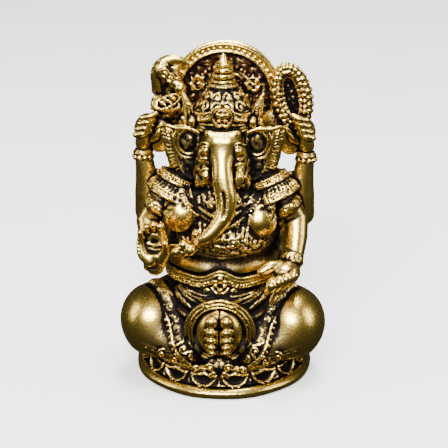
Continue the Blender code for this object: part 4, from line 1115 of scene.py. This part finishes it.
def sculpt_halo_rim():
    """Bright rim with a beaded channel on its front and another round its edge."""
    rim = Clay("halo_rim", 1.0)
    middle, front, back, inner, outer = halo_places()
    half = (back - front) / 2
    rim.lathe(middle, [(outer - 0.2, -half - 0.05), (outer - 0.1, 0), (outer - 0.2, half + 0.05)],
              turn=UPRIGHT)
    rim.lathe(middle, [(inner - 0.1, -3), (inner - 0.1, 3)], cut=True, turn=UPRIGHT)

    def hoop(reach, y):
        return ring((middle[0], y, middle[2]), (reach, 0, 0), (0, 0, reach), 150)

    rim.bar(hoop(inner + 0.05, front - 0.1), 0.18, 0.04)
    rim.bar(hoop(outer - 0.1, front - 0.05), 0.2, 0.04)
    rim.beads(hoop((inner + outer) / 2 - 0.05, front - 0.05), 0.24, 0.8)
    # the edge, seen from above: beads in a channel between two lines
    rim.bar(hoop(outer, front + 0.25), 0.16, 0.04)
    rim.bar(hoop(outer, back - 0.25), 0.18, 0.04)
    rim.bar(hoop(outer + 0.15, middle[1]), 0.62, cut=True)
    rim.beads(hoop(outer - 0.3, middle[1]), 0.34, 0.85)


# ---------------------------------------------------------------- sculpting: arms

def sculpt_cape(side, tier, sizes):
    """One pleated tier of a shoulder cape with a corded edge."""
    clay = Clay("%s_%s_cape" % (side, tier), 1.6)
    sign = sign_of(side)
    turn = (-8, -sign * 24, 0)
    matrix = turn_matrix(turn)
    hub = Spot(side + "_upper_cape").mid + (0, 0, -2.7)
    hub[0] = sign * (abs(hub[0]) + 0.1)
    top, bottom, narrow, wide = (2.6, 1.0, 1.7, 2.8) if tier == "upper" else (1.3, -1.1, 2.4, 3.45)
    clay.lathe(hub, [(wide, bottom), ((wide + narrow) / 2 + 0.3, (top + bottom) / 2), (narrow, top)], 0.1,
               turn=turn)
    count = sizes.cape_pleats

    def pleats(x, y, z):
        u, v, w = seen_from(hub, matrix, x, y, z)
        turns = np.arctan2(v, u)
        net = np.sin(turns * count / 2 + w * 5) * np.sin(turns * count / 2 - w * 5)
        return (sizes.pleat_depth * np.where(w > (top + bottom) / 2, net, np.sin(turns * count))
                * np.clip((top - w) / 0.5, 0, 1))

    clay.relief(pleats)
    clay.stipple(0.05)

    def edge(out, height):
        reach = wide + out
        return ring(hub + matrix @ (0, 0, bottom + height), matrix @ (reach, 0, 0),
                    matrix @ (0, reach, 0), 90)

    clay.bar(edge(0, 0.08), 0.2)
    clay.beads(edge(0.02, 0.5), 0.15, 0.36)
    clay.bar(edge(-0.05, 0.85), 0.12, 0.04)


def sculpt_front_arm(side):
    """Upper arm with its armlet, elbow, forearm and triple bangle."""
    sign, right = sign_of(side), side == "right"
    clay = Clay(side + "_upper_arm", 1.4)
    fore = Spot(side + "_forearm")
    shoulder = clay.spot.at(-sign * 0.45, 0.2, 0.9)
    elbow = clay.spot.at(sign * 0.42, -0.25 if right else 0.05, -0.35)
    wrist = fore.at(-sign * 0.55, -0.72, -0.6) if right else fore.at(-sign * 0.15, -0.62, -0.72)
    clay.bar([shoulder, (shoulder + elbow) / 2 + (sign * 0.1, 0, 0), elbow], [1.75, 1.7, 1.5], 0.3, step=0.5)
    across, third = across_way(elbow - shoulder, (0, 1, 0))
    for share, size, reach, lay in ((0.30, 0.225, 1.76, clay.bar), (0.42, 0.24, 1.86, clay.beads),
                                    (0.54, 0.225, 1.76, clay.bar)):
        lay(ring(shoulder + (elbow - shoulder) * share, across * reach, -third * reach, 48), size)
    clay.ball(shoulder + (elbow - shoulder) * 0.4 + (sign * 0.6, -1.6, 0.3), (0.6, 0.5, 0.8))
    clay = Clay(side + "_forearm", 1.2)
    clay.bar([elbow, (elbow + wrist) / 2 + (sign * 0.1, 0.1, 0), wrist], [1.55, 1.5, 1.25], 0.3, step=0.5)
    clay = Clay(side + "_bangle", 1.0)
    clay.hold(clay.spot.mid)
    along = (wrist - elbow) / np.linalg.norm(wrist - elbow)
    across, third = across_way(along, (1, 0, 0))
    for shift, size, lay in ((-0.4, 0.26, clay.bar), (0.05, 0.3, clay.beads), (0.5, 0.26, clay.bar)):
        lay(ring(along * shift, across * 1.3, -third * 1.3, 44), size)
    clay.bar([along * -0.5, along * 0.6], [1.25, 1.2], 0.1)


def sculpt_raised_hand():
    """Right palm raised to the front: curled fingertips round a hollow, and a thumb."""
    clay = Clay("right_hand", 1.4)
    palm = np.array([clay.spot.mid[0] - 0.75, clay.spot.mid[1] + 0.5, clay.spot.low[2] + 4.1])
    clay.hold(palm)
    clay.ball((0, 0.3, 0), (1.9, 1.0, 2.8), blend=0.2)
    clay.bar([(0.4, 0.5, -2.6), (0.1, 0.1, -1.5)], [1.3, 1.4], 0.6)
    clay.ball((0.1, -1.0, 0.35), (1.45, 0.5, 1.6), blend=0.3, cut=True)
    clay.stipple(0.06, lambda x, y, z: y < palm[1])
    clay.bar([(-1.4, -0.35, 1.5), (-1.65, -0.3, 0.2), (-1.35, -0.55, -1.3), (-0.4, -0.7, -2.2)],
             [0.5, 0.55, 0.75, 0.85], 0.25, step=0.3)
    for across, up in ((-1.65, 1.7), (-0.8, 2.5), (0.15, 2.8), (1.1, 2.6)):
        tip = np.array([across * 0.96, -1.05, up + 0.05])
        clay.bar([(across * 0.9, 0.1, up * 0.45), (across, -0.2, up - 0.1), tip], [0.46, 0.44, 0.4], 0.04,
                 step=0.25)
        clay.bar([tip + (-0.02, 0.15, -0.2), (across * 0.8, -0.75, up - 0.7)], [0.4, 0.3], 0.06)
        clay.ball(tip + (0, -0.1, 0.1), 0.42, blend=0.03)
    clay.bar([(1.0, -0.4, -2.0), (1.7, -0.9, -0.7), (1.65, -1.3, 0.45)], [0.85, 0.62, 0.42], 0.25, step=0.3)
    clay.ball((1.65, -1.45, 0.5), 0.45, blend=0.05)
    clay.beads([(-1.75, -0.75, 1.3), (-2.05, -0.8, 0.1), (-1.75, -1.15, -1.3), (-0.9, -1.35, -2.2)],
               0.19, 0.5, step=0.2)
    for rise in (0.0, -0.65):  # lines of the palm
        clay.bar([(-0.7, -0.55, 0.15 + rise), (0.2, -0.6, rise - 0.05), (1.0, -0.75, 0.1 + rise)],
                 0.17, step=0.2)


def sculpt_resting_hand():
    """Left hand closed over the broken tusk, thumb towards the belly."""
    clay = Clay("left_hand", 1.3)
    palm = clay.spot.at(0.2, 0.15, 0.15)
    clay.hold(palm)
    clay.ball((0, 0, 0), (1.9, 1.8, 1.15), turn=(0, 14, 25), blend=0.2)
    clay.bar([clay.spot.at(0.6, 0.8, 0.6) - palm, (0, 0, 0)], [1.15, 1.25], 0.5)
    for i in range(4):
        root = np.array([1.25 - 0.95 * i, -0.6 - 0.2 * i, 0.25 - 0.3 * i])
        clay.bar([root, root + (-0.3, -1.2, -0.1 - 0.1 * i), root + (-0.75, -0.9, -1.3)],
                 [0.6, 0.72, 0.5], 0.03, step=0.25)
    clay.bar([(-0.8, 0.3, 0.5), (-2.2, -0.3, 0.7), (-3.3, -0.9, 0.2)], [0.9, 0.8, 0.55], 0.15, step=0.3)


def sculpt_rear_arm(side):
    """Rear upper arm, upright forearm and beaded bangle."""
    sign, fore = sign_of(side), Spot(side + "_rear_forearm").at
    clay = Clay(side + "_rear_upper_arm", 2.2)
    upper = clay.spot.at
    elbow = fore(-sign * 0.6, 0, -0.9)
    clay.bar([upper(-sign * 0.8, 0, 0.7), upper(sign * 0.1, 0, -0.3), elbow], [1.45, 1.45, 1.4], 0.3,
             step=0.5)
    # web of the casting that fills the angle between the arm and the shoulder
    clay.ball(upper(sign * 0.25, 0, 0.9), (1.9, 0.8, 3.2), blend=0.6)
    clay = Clay(side + "_rear_forearm", 2.0)
    clay.bar([elbow, fore(-sign * 0.7, 0, -0.3), fore(-sign * 0.7, 0, 0.3), fore(-sign * 0.45, 0, 0.95)],
             [1.5, 1.6, 1.45, 1.15], 0.3, step=0.5)
    clay = Clay(side + "_rear_bangle", 1.5)
    clay.hold(clay.spot.mid + (-sign * 0.3, 0, -0.7))
    clay.lathe((0, 0, 0), [(1.15, -0.7), (1.2, 0), (1.15, 0.7)], 0.1)
    clay.beads(ring((0, 0, -0.45), (1.2, 0, 0), (0, 1.2, 0)), 0.38)
    clay.bar(ring((0, 0, 0.15), (1.2, 0, 0), (0, 1.2, 0)), 0.2)


def sculpt_rear_hand(side):
    """Fist that leans inwards, with rolled fingers and a beaded cuff."""
    clay = Clay(side + "_rear_hand", 1.4)
    spot, sign = clay.spot, sign_of(side)
    palm = spot.at(sign * 0.1, 0.05, 0.0)
    clay.bar([spot.at(sign * 0.35, 0, -1), palm], [1.0, 1.2], 0.4)
    # web of the casting between the wrist and the ear
    clay.ball((sign * 8.8, spot.mid[1] + 0.4, spot.low[2] + 1.1), (1.8, 0.6, 2.5), blend=0.3)
    clay.hold(palm, sign)
    clay.ball((0, 0, 0), (1.5, 1.1, 2.0), turn=(0, -20, 0), blend=0.3)
    for i in range(4):
        root = np.array([1.15 - 0.3 * i, -0.65, -0.9 + 0.8 * i])
        clay.bar([root, root + (-0.8, -0.55, 0.25), root + (-1.8, -0.35, 0.7)], [0.42, 0.44, 0.36], step=0.3)
        clay.ball(root + (0.1, -0.25, 0.05), 0.42, blend=0.04)
    clay.bar([(-0.9, -0.3, -1.5), (-1.7, -0.8, -0.9), (-2.0, -0.7, -0.1)], [0.5, 0.42], 0.1, step=0.3)


# ---------------------------------------------------------------- sculpting: what the hands hold

def sculpt_cup():
    """Ribbed cup under the axe, with a beaded lip and seven grains in it."""
    clay = Clay("axe_cup", 1.2)
    clay.hold(clay.spot.mid)
    clay.ball((0, 0, 0), (2.1, 1.45, 1.6), turn=(0, 25, 0))
    clay.ball((1.2, 0.4, -1.8), (3.1, 0.7, 1.7), blend=0.4)  # web between the hand and the crown
    clay.ball((0.25, -1.3, 0.9), (1.5, 1.0, 0.8), turn=(0, -20, 0), cut=True)
    for angle in np.radians(np.linspace(200, 360, 9)):
        clay.bar([(1.35 * math.cos(angle), -1.1, 0.5 + 1.25 * math.sin(angle)),
                  (1.95 * math.cos(angle), -0.6, 0.3 + 1.75 * math.sin(angle))], 0.15)
    clay.stipple(0.12)
    clay.beads(ring((0.25, -1.05, 0.8), (1.75, 0, 0.65), (0, 0.25, 0.75)), 0.19, 0.42)
    for point in [*ring((0.3, -0.75, 0.85), (0.806, 0, 0.31), (0, 0, 0.434), 7)[:-1], (0.3, -0.75, 0.85)]:
        clay.ball(point, 0.36, blend=0.03)


def sculpt_axe():
    """Socket with its knob, and the crescent blade."""
    head, blade = Clay("axe_head", 1.2), Clay("axe_blade", 1.4)
    hub = np.array([blade.spot.mid[0] + 0.45, head.spot.mid[1], blade.spot.mid[2] - 0.35])
    head.hold(hub)
    head.bar([(-1.5, 0, 1.2), (-0.2, -0.1, 0.1), (0.8, -0.8, -1.0)], [1.25, 1.1, 0.75], 0.3)
    head.bar([(0, 0, 0), (-0.7, 0, -2.8)], 0.75, 0.3)
    head.ball((-1.2, 0.35, -1.2), (1.9, 0.5, 2.2), blend=0.3)  # web between the blade and the shaft
    head.stipple(0.07)
    head.ball((1.0, -1.1, -1.2), 0.8, blend=0.05)  # knob
    for share in (0, 0.5, 1):
        place = np.array([-1.1, -0.9, 0.9]) * (1 - share) + np.array([0.35, -0.85, -0.3]) * share
        head.bar(ring(place + (0, -0.35, 0), (0.55, 0, 0), (0, 0, 0.55), 20), 0.14, 0.04)
        head.ball(place + (0, -0.3, 0), 0.24, blend=0.04)
    blade.hold(hub)
    angles, swell = np.radians(np.linspace(35, 235, 30)), np.sin(np.linspace(0, math.pi, 30))
    edge = blade.spot.half[0] + 0.25
    for depth, place, size, squash, part in ((0.45 * swell, 0, 0.22 + 0.75 * swell, ((0, 1, 0), 1.7),
                                              slice(None)), (1.2, -0.45, 0.14, None, slice(4, -4))):
        arc = np.stack([(edge - depth) * np.cos(angles), place + 0 * angles,
                        (edge - depth) * np.sin(angles)], axis=1)
        blade.bar(arc[part], size, squash=squash)


def sculpt_noose(sizes):
    """Noose: an oval rope covered in two sizes of beads, over a web that patina and painted shade darken."""
    clay = Clay("noose", 1.2)
    spot = clay.spot
    lean = math.radians(12)
    wide, tall = spot.half[0] - 1.45, spot.half[2] - 1.15

    def oval(t, out=0.0):
        a, b = (wide + out) * math.cos(t), (tall + out) * math.sin(t)
        return spot.mid + (a * math.cos(lean) - b * math.sin(lean), 0,
                           a * math.sin(lean) + b * math.cos(lean))

    path = np.array([oval(t) for t in np.linspace(0, math.tau, 60)])
    clay.bar(path, 0.85, 0.1)
    clay.ball(spot.mid + (0, 0.4, 0), (wide, 0.45, tall), turn=(0, -12, 0))
    clay.ball(spot.at(-0.5, 0.1, -0.75), (2.5, 0.7, 2.0), blend=0.4)  # web between the hand and the crown
    rng = np.random.default_rng(7)
    count = len(evenly(path, sizes.noose_bead * 1.75)) - 1
    for around, size in ((-0.95, 1.0), (-0.2, 0.95), (0.55, 1.0), (1.3, 0.85), (-1.7, 0.85)):
        for i in range(count):
            t = math.tau * (i + 0.5 * (around > 0)) / count
            outward = oval(t, 1.0) - oval(t)
            outward /= np.linalg.norm(outward)
            place = oval(t) + outward * 0.82 * math.sin(around) - (0, 0.82 * math.cos(around), 0)
            clay.ball(place, sizes.noose_bead * size * (0.85 + 0.3 * rng.random()), blend=0.04)
    for _ in range(16):
        x, z = rng.uniform(-0.8, 0.8), rng.uniform(-0.8, 0.8)
        clay.ball(spot.mid + (x * wide * 0.7, 0.0, z * tall * 0.8), 0.2, blend=0.05)


def sculpt_small_things():
    """The sweets at the end of the trunk, and the broken tusk."""
    clay = Clay("sweet", 1.6)
    clay.hold(clay.spot.mid)
    for step, size in (((0.7, -0.3, -1.0), 0.78), ((-0.2, -0.2, -0.35), 0.62), ((-1.1, -0.1, -1.35), 0.66),
                       ((-0.2, 0.1, -1.5), 0.6)):
        clay.ball(step, size, blend=0.08)
    clay.bar([(-1.9, 0.1, -0.55), (-1.0, -0.3, -0.4), (-0.1, -0.3, -0.9)], 0.16, step=0.2)
    clay = Clay("broken_tusk", 0.8)
    at = clay.spot.at
    clay.bar([at(0.85, 0.8, 0.95), at(0, -0.1, 0), at(-0.8, -0.7, -1.05)], [0.4, 0.36, 0.3, 0.2], 0.1,
             step=0.3)
    clay.bar([at(1.2, 0.8, 0.6), at(0.4, -0.1, -0.2), at(-0.3, -0.7, -1.05)], 0.16, step=0.3)


# ---------------------------------------------------------------- sizes and colours

class DeitySizes(bpy.types.PropertyGroup):
    """Sizes of the ornament."""

    petal_count: bpy.props.IntProperty(
        name="Lotus petals", description="Petals round the lotus seat", default=16, min=8, max=32)
    crown_petals: bpy.props.IntProperty(
        name="Crown petals", description="Petals round the bell of the crown", default=14, min=6, max=30)
    cape_pleats: bpy.props.IntProperty(
        name="Cape pleats", description="Pleats round a shoulder cape", default=34, min=12, max=60)
    pleat_depth: bpy.props.FloatProperty(
        name="Pleat depth", description="Height of a cape pleat in millimetres", default=0.14, min=0)
    fold_depth: bpy.props.FloatProperty(
        name="Fold depth", description="Height of a fold of the cloth in millimetres", default=0.1,
        min=0)
    noose_bead: bpy.props.FloatProperty(
        name="Noose bead", description="Radius of the noose's beads in millimetres", default=0.36,
        min=0.1)


class DeityFinish(bpy.types.PropertyGroup):
    """Colours of the brass, as sRGB hex values."""

    bright: bpy.props.StringProperty(
        name="Bright", description="Rubbed high spots", default="#FFD866")
    gold: bpy.props.StringProperty(
        name="Gold", description="Bare brass", default="#9C8656")
    # bronze, russet and dark colour the patina, and also paint shade where parts shelter each other
    bronze: bpy.props.StringProperty(
        name="Bronze", description="Thin tone", default="#433724")
    russet: bpy.props.StringProperty(
        name="Russet", description="Warm brown tone between gold and black", default="#271C11")
    wine: bpy.props.StringProperty(
        name="Wine", description="Red-brown tone of the cloth and of the halo's plate", default="#54260F")
    dark: bpy.props.StringProperty(
        name="Dark", description="Thick tone in the hollows", default="#090504")


# ---------------------------------------------------------------- operators

class Sculpting:
    """What the operators of the groups share: they sculpt, then cast what they sculpted."""

    def execute(self, context):
        FRESH.clear()
        self.sculpt(context.scene.deity_sizes)
        for node in FRESH:
            finish_piece(node, finish_for(SLOT_OF[node]))
        return {"FINISHED"}


class DEITY_OT_pedestal(Sculpting, bpy.types.Operator):
    """Sculpt the plinth and the lotus seat"""

    bl_idname = "deity.pedestal"
    bl_label = "Pedestal"

    def sculpt(self, sizes):
        sculpt_plinth()
        sculpt_lotus(sizes)


class DEITY_OT_body(Sculpting, bpy.types.Operator):
    """Sculpt the torso, the hips and the folded legs"""

    bl_idname = "deity.body"
    bl_label = "Body and legs"

    def sculpt(self, sizes):
        sculpt_torso()
        sculpt_hips(sizes)
        for side in SIDES:
            sculpt_leg(side)


class DEITY_OT_feet(Sculpting, bpy.types.Operator):
    """Sculpt the lap cloth, the soles and the oval hem round them"""

    bl_idname = "deity.feet"
    bl_label = "Lap and feet"

    def sculpt(self, sizes):
        sculpt_lap(sizes)
        for side in SIDES:
            sculpt_foot(side)
        sculpt_foot_frame()


class DEITY_OT_trimmings(Sculpting, bpy.types.Operator):
    """Sculpt the hems, the sash, the belt, its clasp and the collar"""

    bl_idname = "deity.trimmings"
    bl_label = "Hems, sash, belt and collar"

    def sculpt(self, sizes):
        for side in SIDES:
            sculpt_hem(side)
            sculpt_swag(side)
        sculpt_belt()
        sculpt_clasp()
        sculpt_necklace()


class DEITY_OT_head(Sculpting, bpy.types.Operator):
    """Sculpt the head, trunk, tusks and ears"""

    bl_idname = "deity.head"
    bl_label = "Head"

    def sculpt(self, sizes):
        sculpt_head()
        sculpt_trunk()
        for side in SIDES:
            sculpt_tusk(side)
        for side in SIDES:
            sculpt_ear(side)


class DEITY_OT_crown(Sculpting, bpy.types.Operator):
    """Sculpt the crown and the halo"""

    bl_idname = "deity.crown"
    bl_label = "Crown and halo"

    def sculpt(self, sizes):
        sculpt_crown_band()
        sculpt_crown_dome(sizes)
        sculpt_crown_spire()
        sculpt_crest()
        for side in SIDES:
            sculpt_wing(side)
        sculpt_halo_plate()
        sculpt_halo_rim()


class DEITY_OT_front_arms(Sculpting, bpy.types.Operator):
    """Sculpt the shoulder capes, the front arms and their hands"""

    bl_idname = "deity.front_arms"
    bl_label = "Capes and front arms"

    def sculpt(self, sizes):
        for side in SIDES:
            for tier in ("upper", "lower"):
                sculpt_cape(side, tier, sizes)
            sculpt_front_arm(side)
        sculpt_raised_hand()
        sculpt_resting_hand()


class DEITY_OT_rear_arms(Sculpting, bpy.types.Operator):
    """Sculpt the raised rear arms and their fists"""

    bl_idname = "deity.rear_arms"
    bl_label = "Rear arms"

    def sculpt(self, sizes):
        for side in SIDES:
            sculpt_rear_arm(side)
            sculpt_rear_hand(side)


class DEITY_OT_held(Sculpting, bpy.types.Operator):
    """Sculpt the axe, the noose, the broken tusk and the sweet"""

    bl_idname = "deity.held"
    bl_label = "What the hands hold"

    def sculpt(self, sizes):
        sculpt_cup()
        sculpt_axe()
        sculpt_noose(sizes)
        sculpt_small_things()


class DEITY_OT_tone_and_painted_shade(bpy.types.Operator):
    """Work out where the dark tone stays: patina in fine hollows, and patina with painted shade in places
    that other parts shelter
    """

    bl_idname = "deity.tone"
    bl_label = "Tone of the hollows and painted shade"

    def execute(self, context):
        first = np.min([clay.first for clay in CLAYS.values()], axis=0)
        last = np.max([clay.first + clay.field.shape for clay in CLAYS.values()], axis=0)
        solid = np.zeros(last - first, np.float32)
        for clay in CLAYS.values():
            place = tuple(slice(a, a + n) for a, n in zip(clay.first - first, clay.field.shape))
            filled = np.clip(0.5 - clay.field / GRAIN, 0, 1)
            solid[place] = np.maximum(solid[place], filled)
        fine = blurred(solid, HOLLOW_BLUR / GRAIN)
        # coarse blur: patina and painted shade where parts shelter each other
        wide = blurred(solid[::2, ::2, ::2], PATINA_AND_PAINTED_SHADE_BLUR / GRAIN / 2)
        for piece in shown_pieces():
            if not piece.name.endswith("_cast"):
                continue
            points = np.empty(len(piece.data.vertices) * 3)
            piece.data.vertices.foreach_get("co", points)
            points = points.reshape(-1, 3) / MM
            for name, grid, step in (("hollow", fine, GRAIN), ("shelter", wide, 2 * GRAIN)):
                values = sampled(grid, first * GRAIN / step, step, points) - 0.5
                attribute = piece.data.attributes.new(name, "FLOAT", "POINT")
                attribute.data.foreach_set("value", values.astype(np.float32))
        return {"FINISHED"}


class DEITY_OT_stage(bpy.types.Operator):
    """Lay the white table, set the lights and the camera"""

    bl_idname = "deity.stage"
    bl_label = "Stage"

    def execute(self, context):
        low, high = (np.array(corner) for corner in CAD_BOX)
        middle = Vector((0, 0, AIM * high[2]))
        mesh = bpy.data.meshes.new("table")
        half = 6.0
        mesh.from_pydata([(-half, -half, low[2]), (half, -half, low[2]), (half, half, low[2]),
                          (-half, half, low[2])], [], [(0, 1, 2, 3)])
        mesh.materials.append(pale_floor())
        table = bpy.data.objects.new("table", mesh)
        table.visible_glossy = False  # the brass mirrors the dark room, not the white sheet
        context.scene.collection.objects.link(table)
        table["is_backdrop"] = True
        for name, place, wide, tall, power in (("key", (-0.04, -0.33, 0.27), 0.22, 0.12, 4.1),
                                               ("left", (-0.34, -0.06, 0.17), 0.08, 0.22, 0.35),
                                               ("right", (0.34, -0.08, 0.18), 0.08, 0.22, 0.5),
                                               ("top", (0.03, 0.03, 0.46), 0.16, 0.12, 3.4),
                                               ("wash", (0, 0, 3.0), 8.0, 8.0, 360.0)):
            data = bpy.data.lights.new(name, "AREA")
            data.shape = "RECTANGLE"
            data.size, data.size_y = wide, tall
            data.energy = power
            lamp = bpy.data.objects.new(name, data)
            lamp.location = place
            lamp.rotation_euler = (middle - Vector(place)).to_track_quat("-Z", "Y").to_euler()
            lamp.visible_glossy = name != "wash"  # the wash lights the table, not the brass
            context.scene.collection.objects.link(lamp)
        world = bpy.data.worlds.new("studio")
        world.use_nodes = True
        world.node_tree.nodes["Background"].inputs["Color"].default_value = linear("#E8E8E8")
        world.node_tree.nodes["Background"].inputs["Strength"].default_value = 0.035
        context.scene.world = world
        data = bpy.data.cameras.new("camera")
        data.sensor_width = 36
        data.lens = 107.1
        data.clip_start, data.clip_end = 0.005, 10
        camera = bpy.data.objects.new("camera", data)
        azimuth, elevation, distance = math.radians(3.5), math.radians(20), 0.182
        camera.location = middle + distance * Vector((math.cos(elevation) * math.sin(azimuth),
                                                      -math.cos(elevation) * math.cos(azimuth),
                                                      math.sin(elevation)))
        camera.rotation_euler = (middle - camera.location).to_track_quat("-Z", "Y").to_euler()
        context.scene.collection.objects.link(camera)
        context.scene.camera = camera
        return {"FINISHED"}


STEPS = (DEITY_OT_stage, DEITY_OT_pedestal, DEITY_OT_body, DEITY_OT_feet, DEITY_OT_trimmings,
         DEITY_OT_head, DEITY_OT_crown, DEITY_OT_front_arms, DEITY_OT_rear_arms, DEITY_OT_held,
         DEITY_OT_tone_and_painted_shade)


class DEITY_PT_sidebar(bpy.types.Panel):
    """Sizes, colours and one button for each group of pieces"""

    bl_idname = "DEITY_PT_sidebar"
    bl_label = "Seated deity"
    bl_space_type = "VIEW_3D"
    bl_region_type = "UI"
    bl_category = "Deity"

    def draw(self, context):
        for group in (context.scene.deity_sizes, context.scene.deity_finish):
            for name in group.__annotations__:
                self.layout.prop(group, name)
        for step in STEPS:
            self.layout.operator(step.bl_idname)


CLASSES = (DeitySizes, DeityFinish) + STEPS + (DEITY_PT_sidebar,)


def register():
    """Adds the classes and the two groups of settings."""
    for each in CLASSES:
        bpy.utils.register_class(each)
    bpy.types.Scene.deity_sizes = bpy.props.PointerProperty(type=DeitySizes)
    bpy.types.Scene.deity_finish = bpy.props.PointerProperty(type=DeityFinish)


def unregister():
    """Takes them away again."""
    del bpy.types.Scene.deity_finish
    del bpy.types.Scene.deity_sizes
    for each in reversed(CLASSES):
        bpy.utils.unregister_class(each)


def main():
    """Makes the whole statuette and its stage."""
    register()
    for step in STEPS:
        group, name = step.bl_idname.split(".")
        getattr(getattr(bpy.ops, group), name)()


if __name__ == "__main__":
    main()
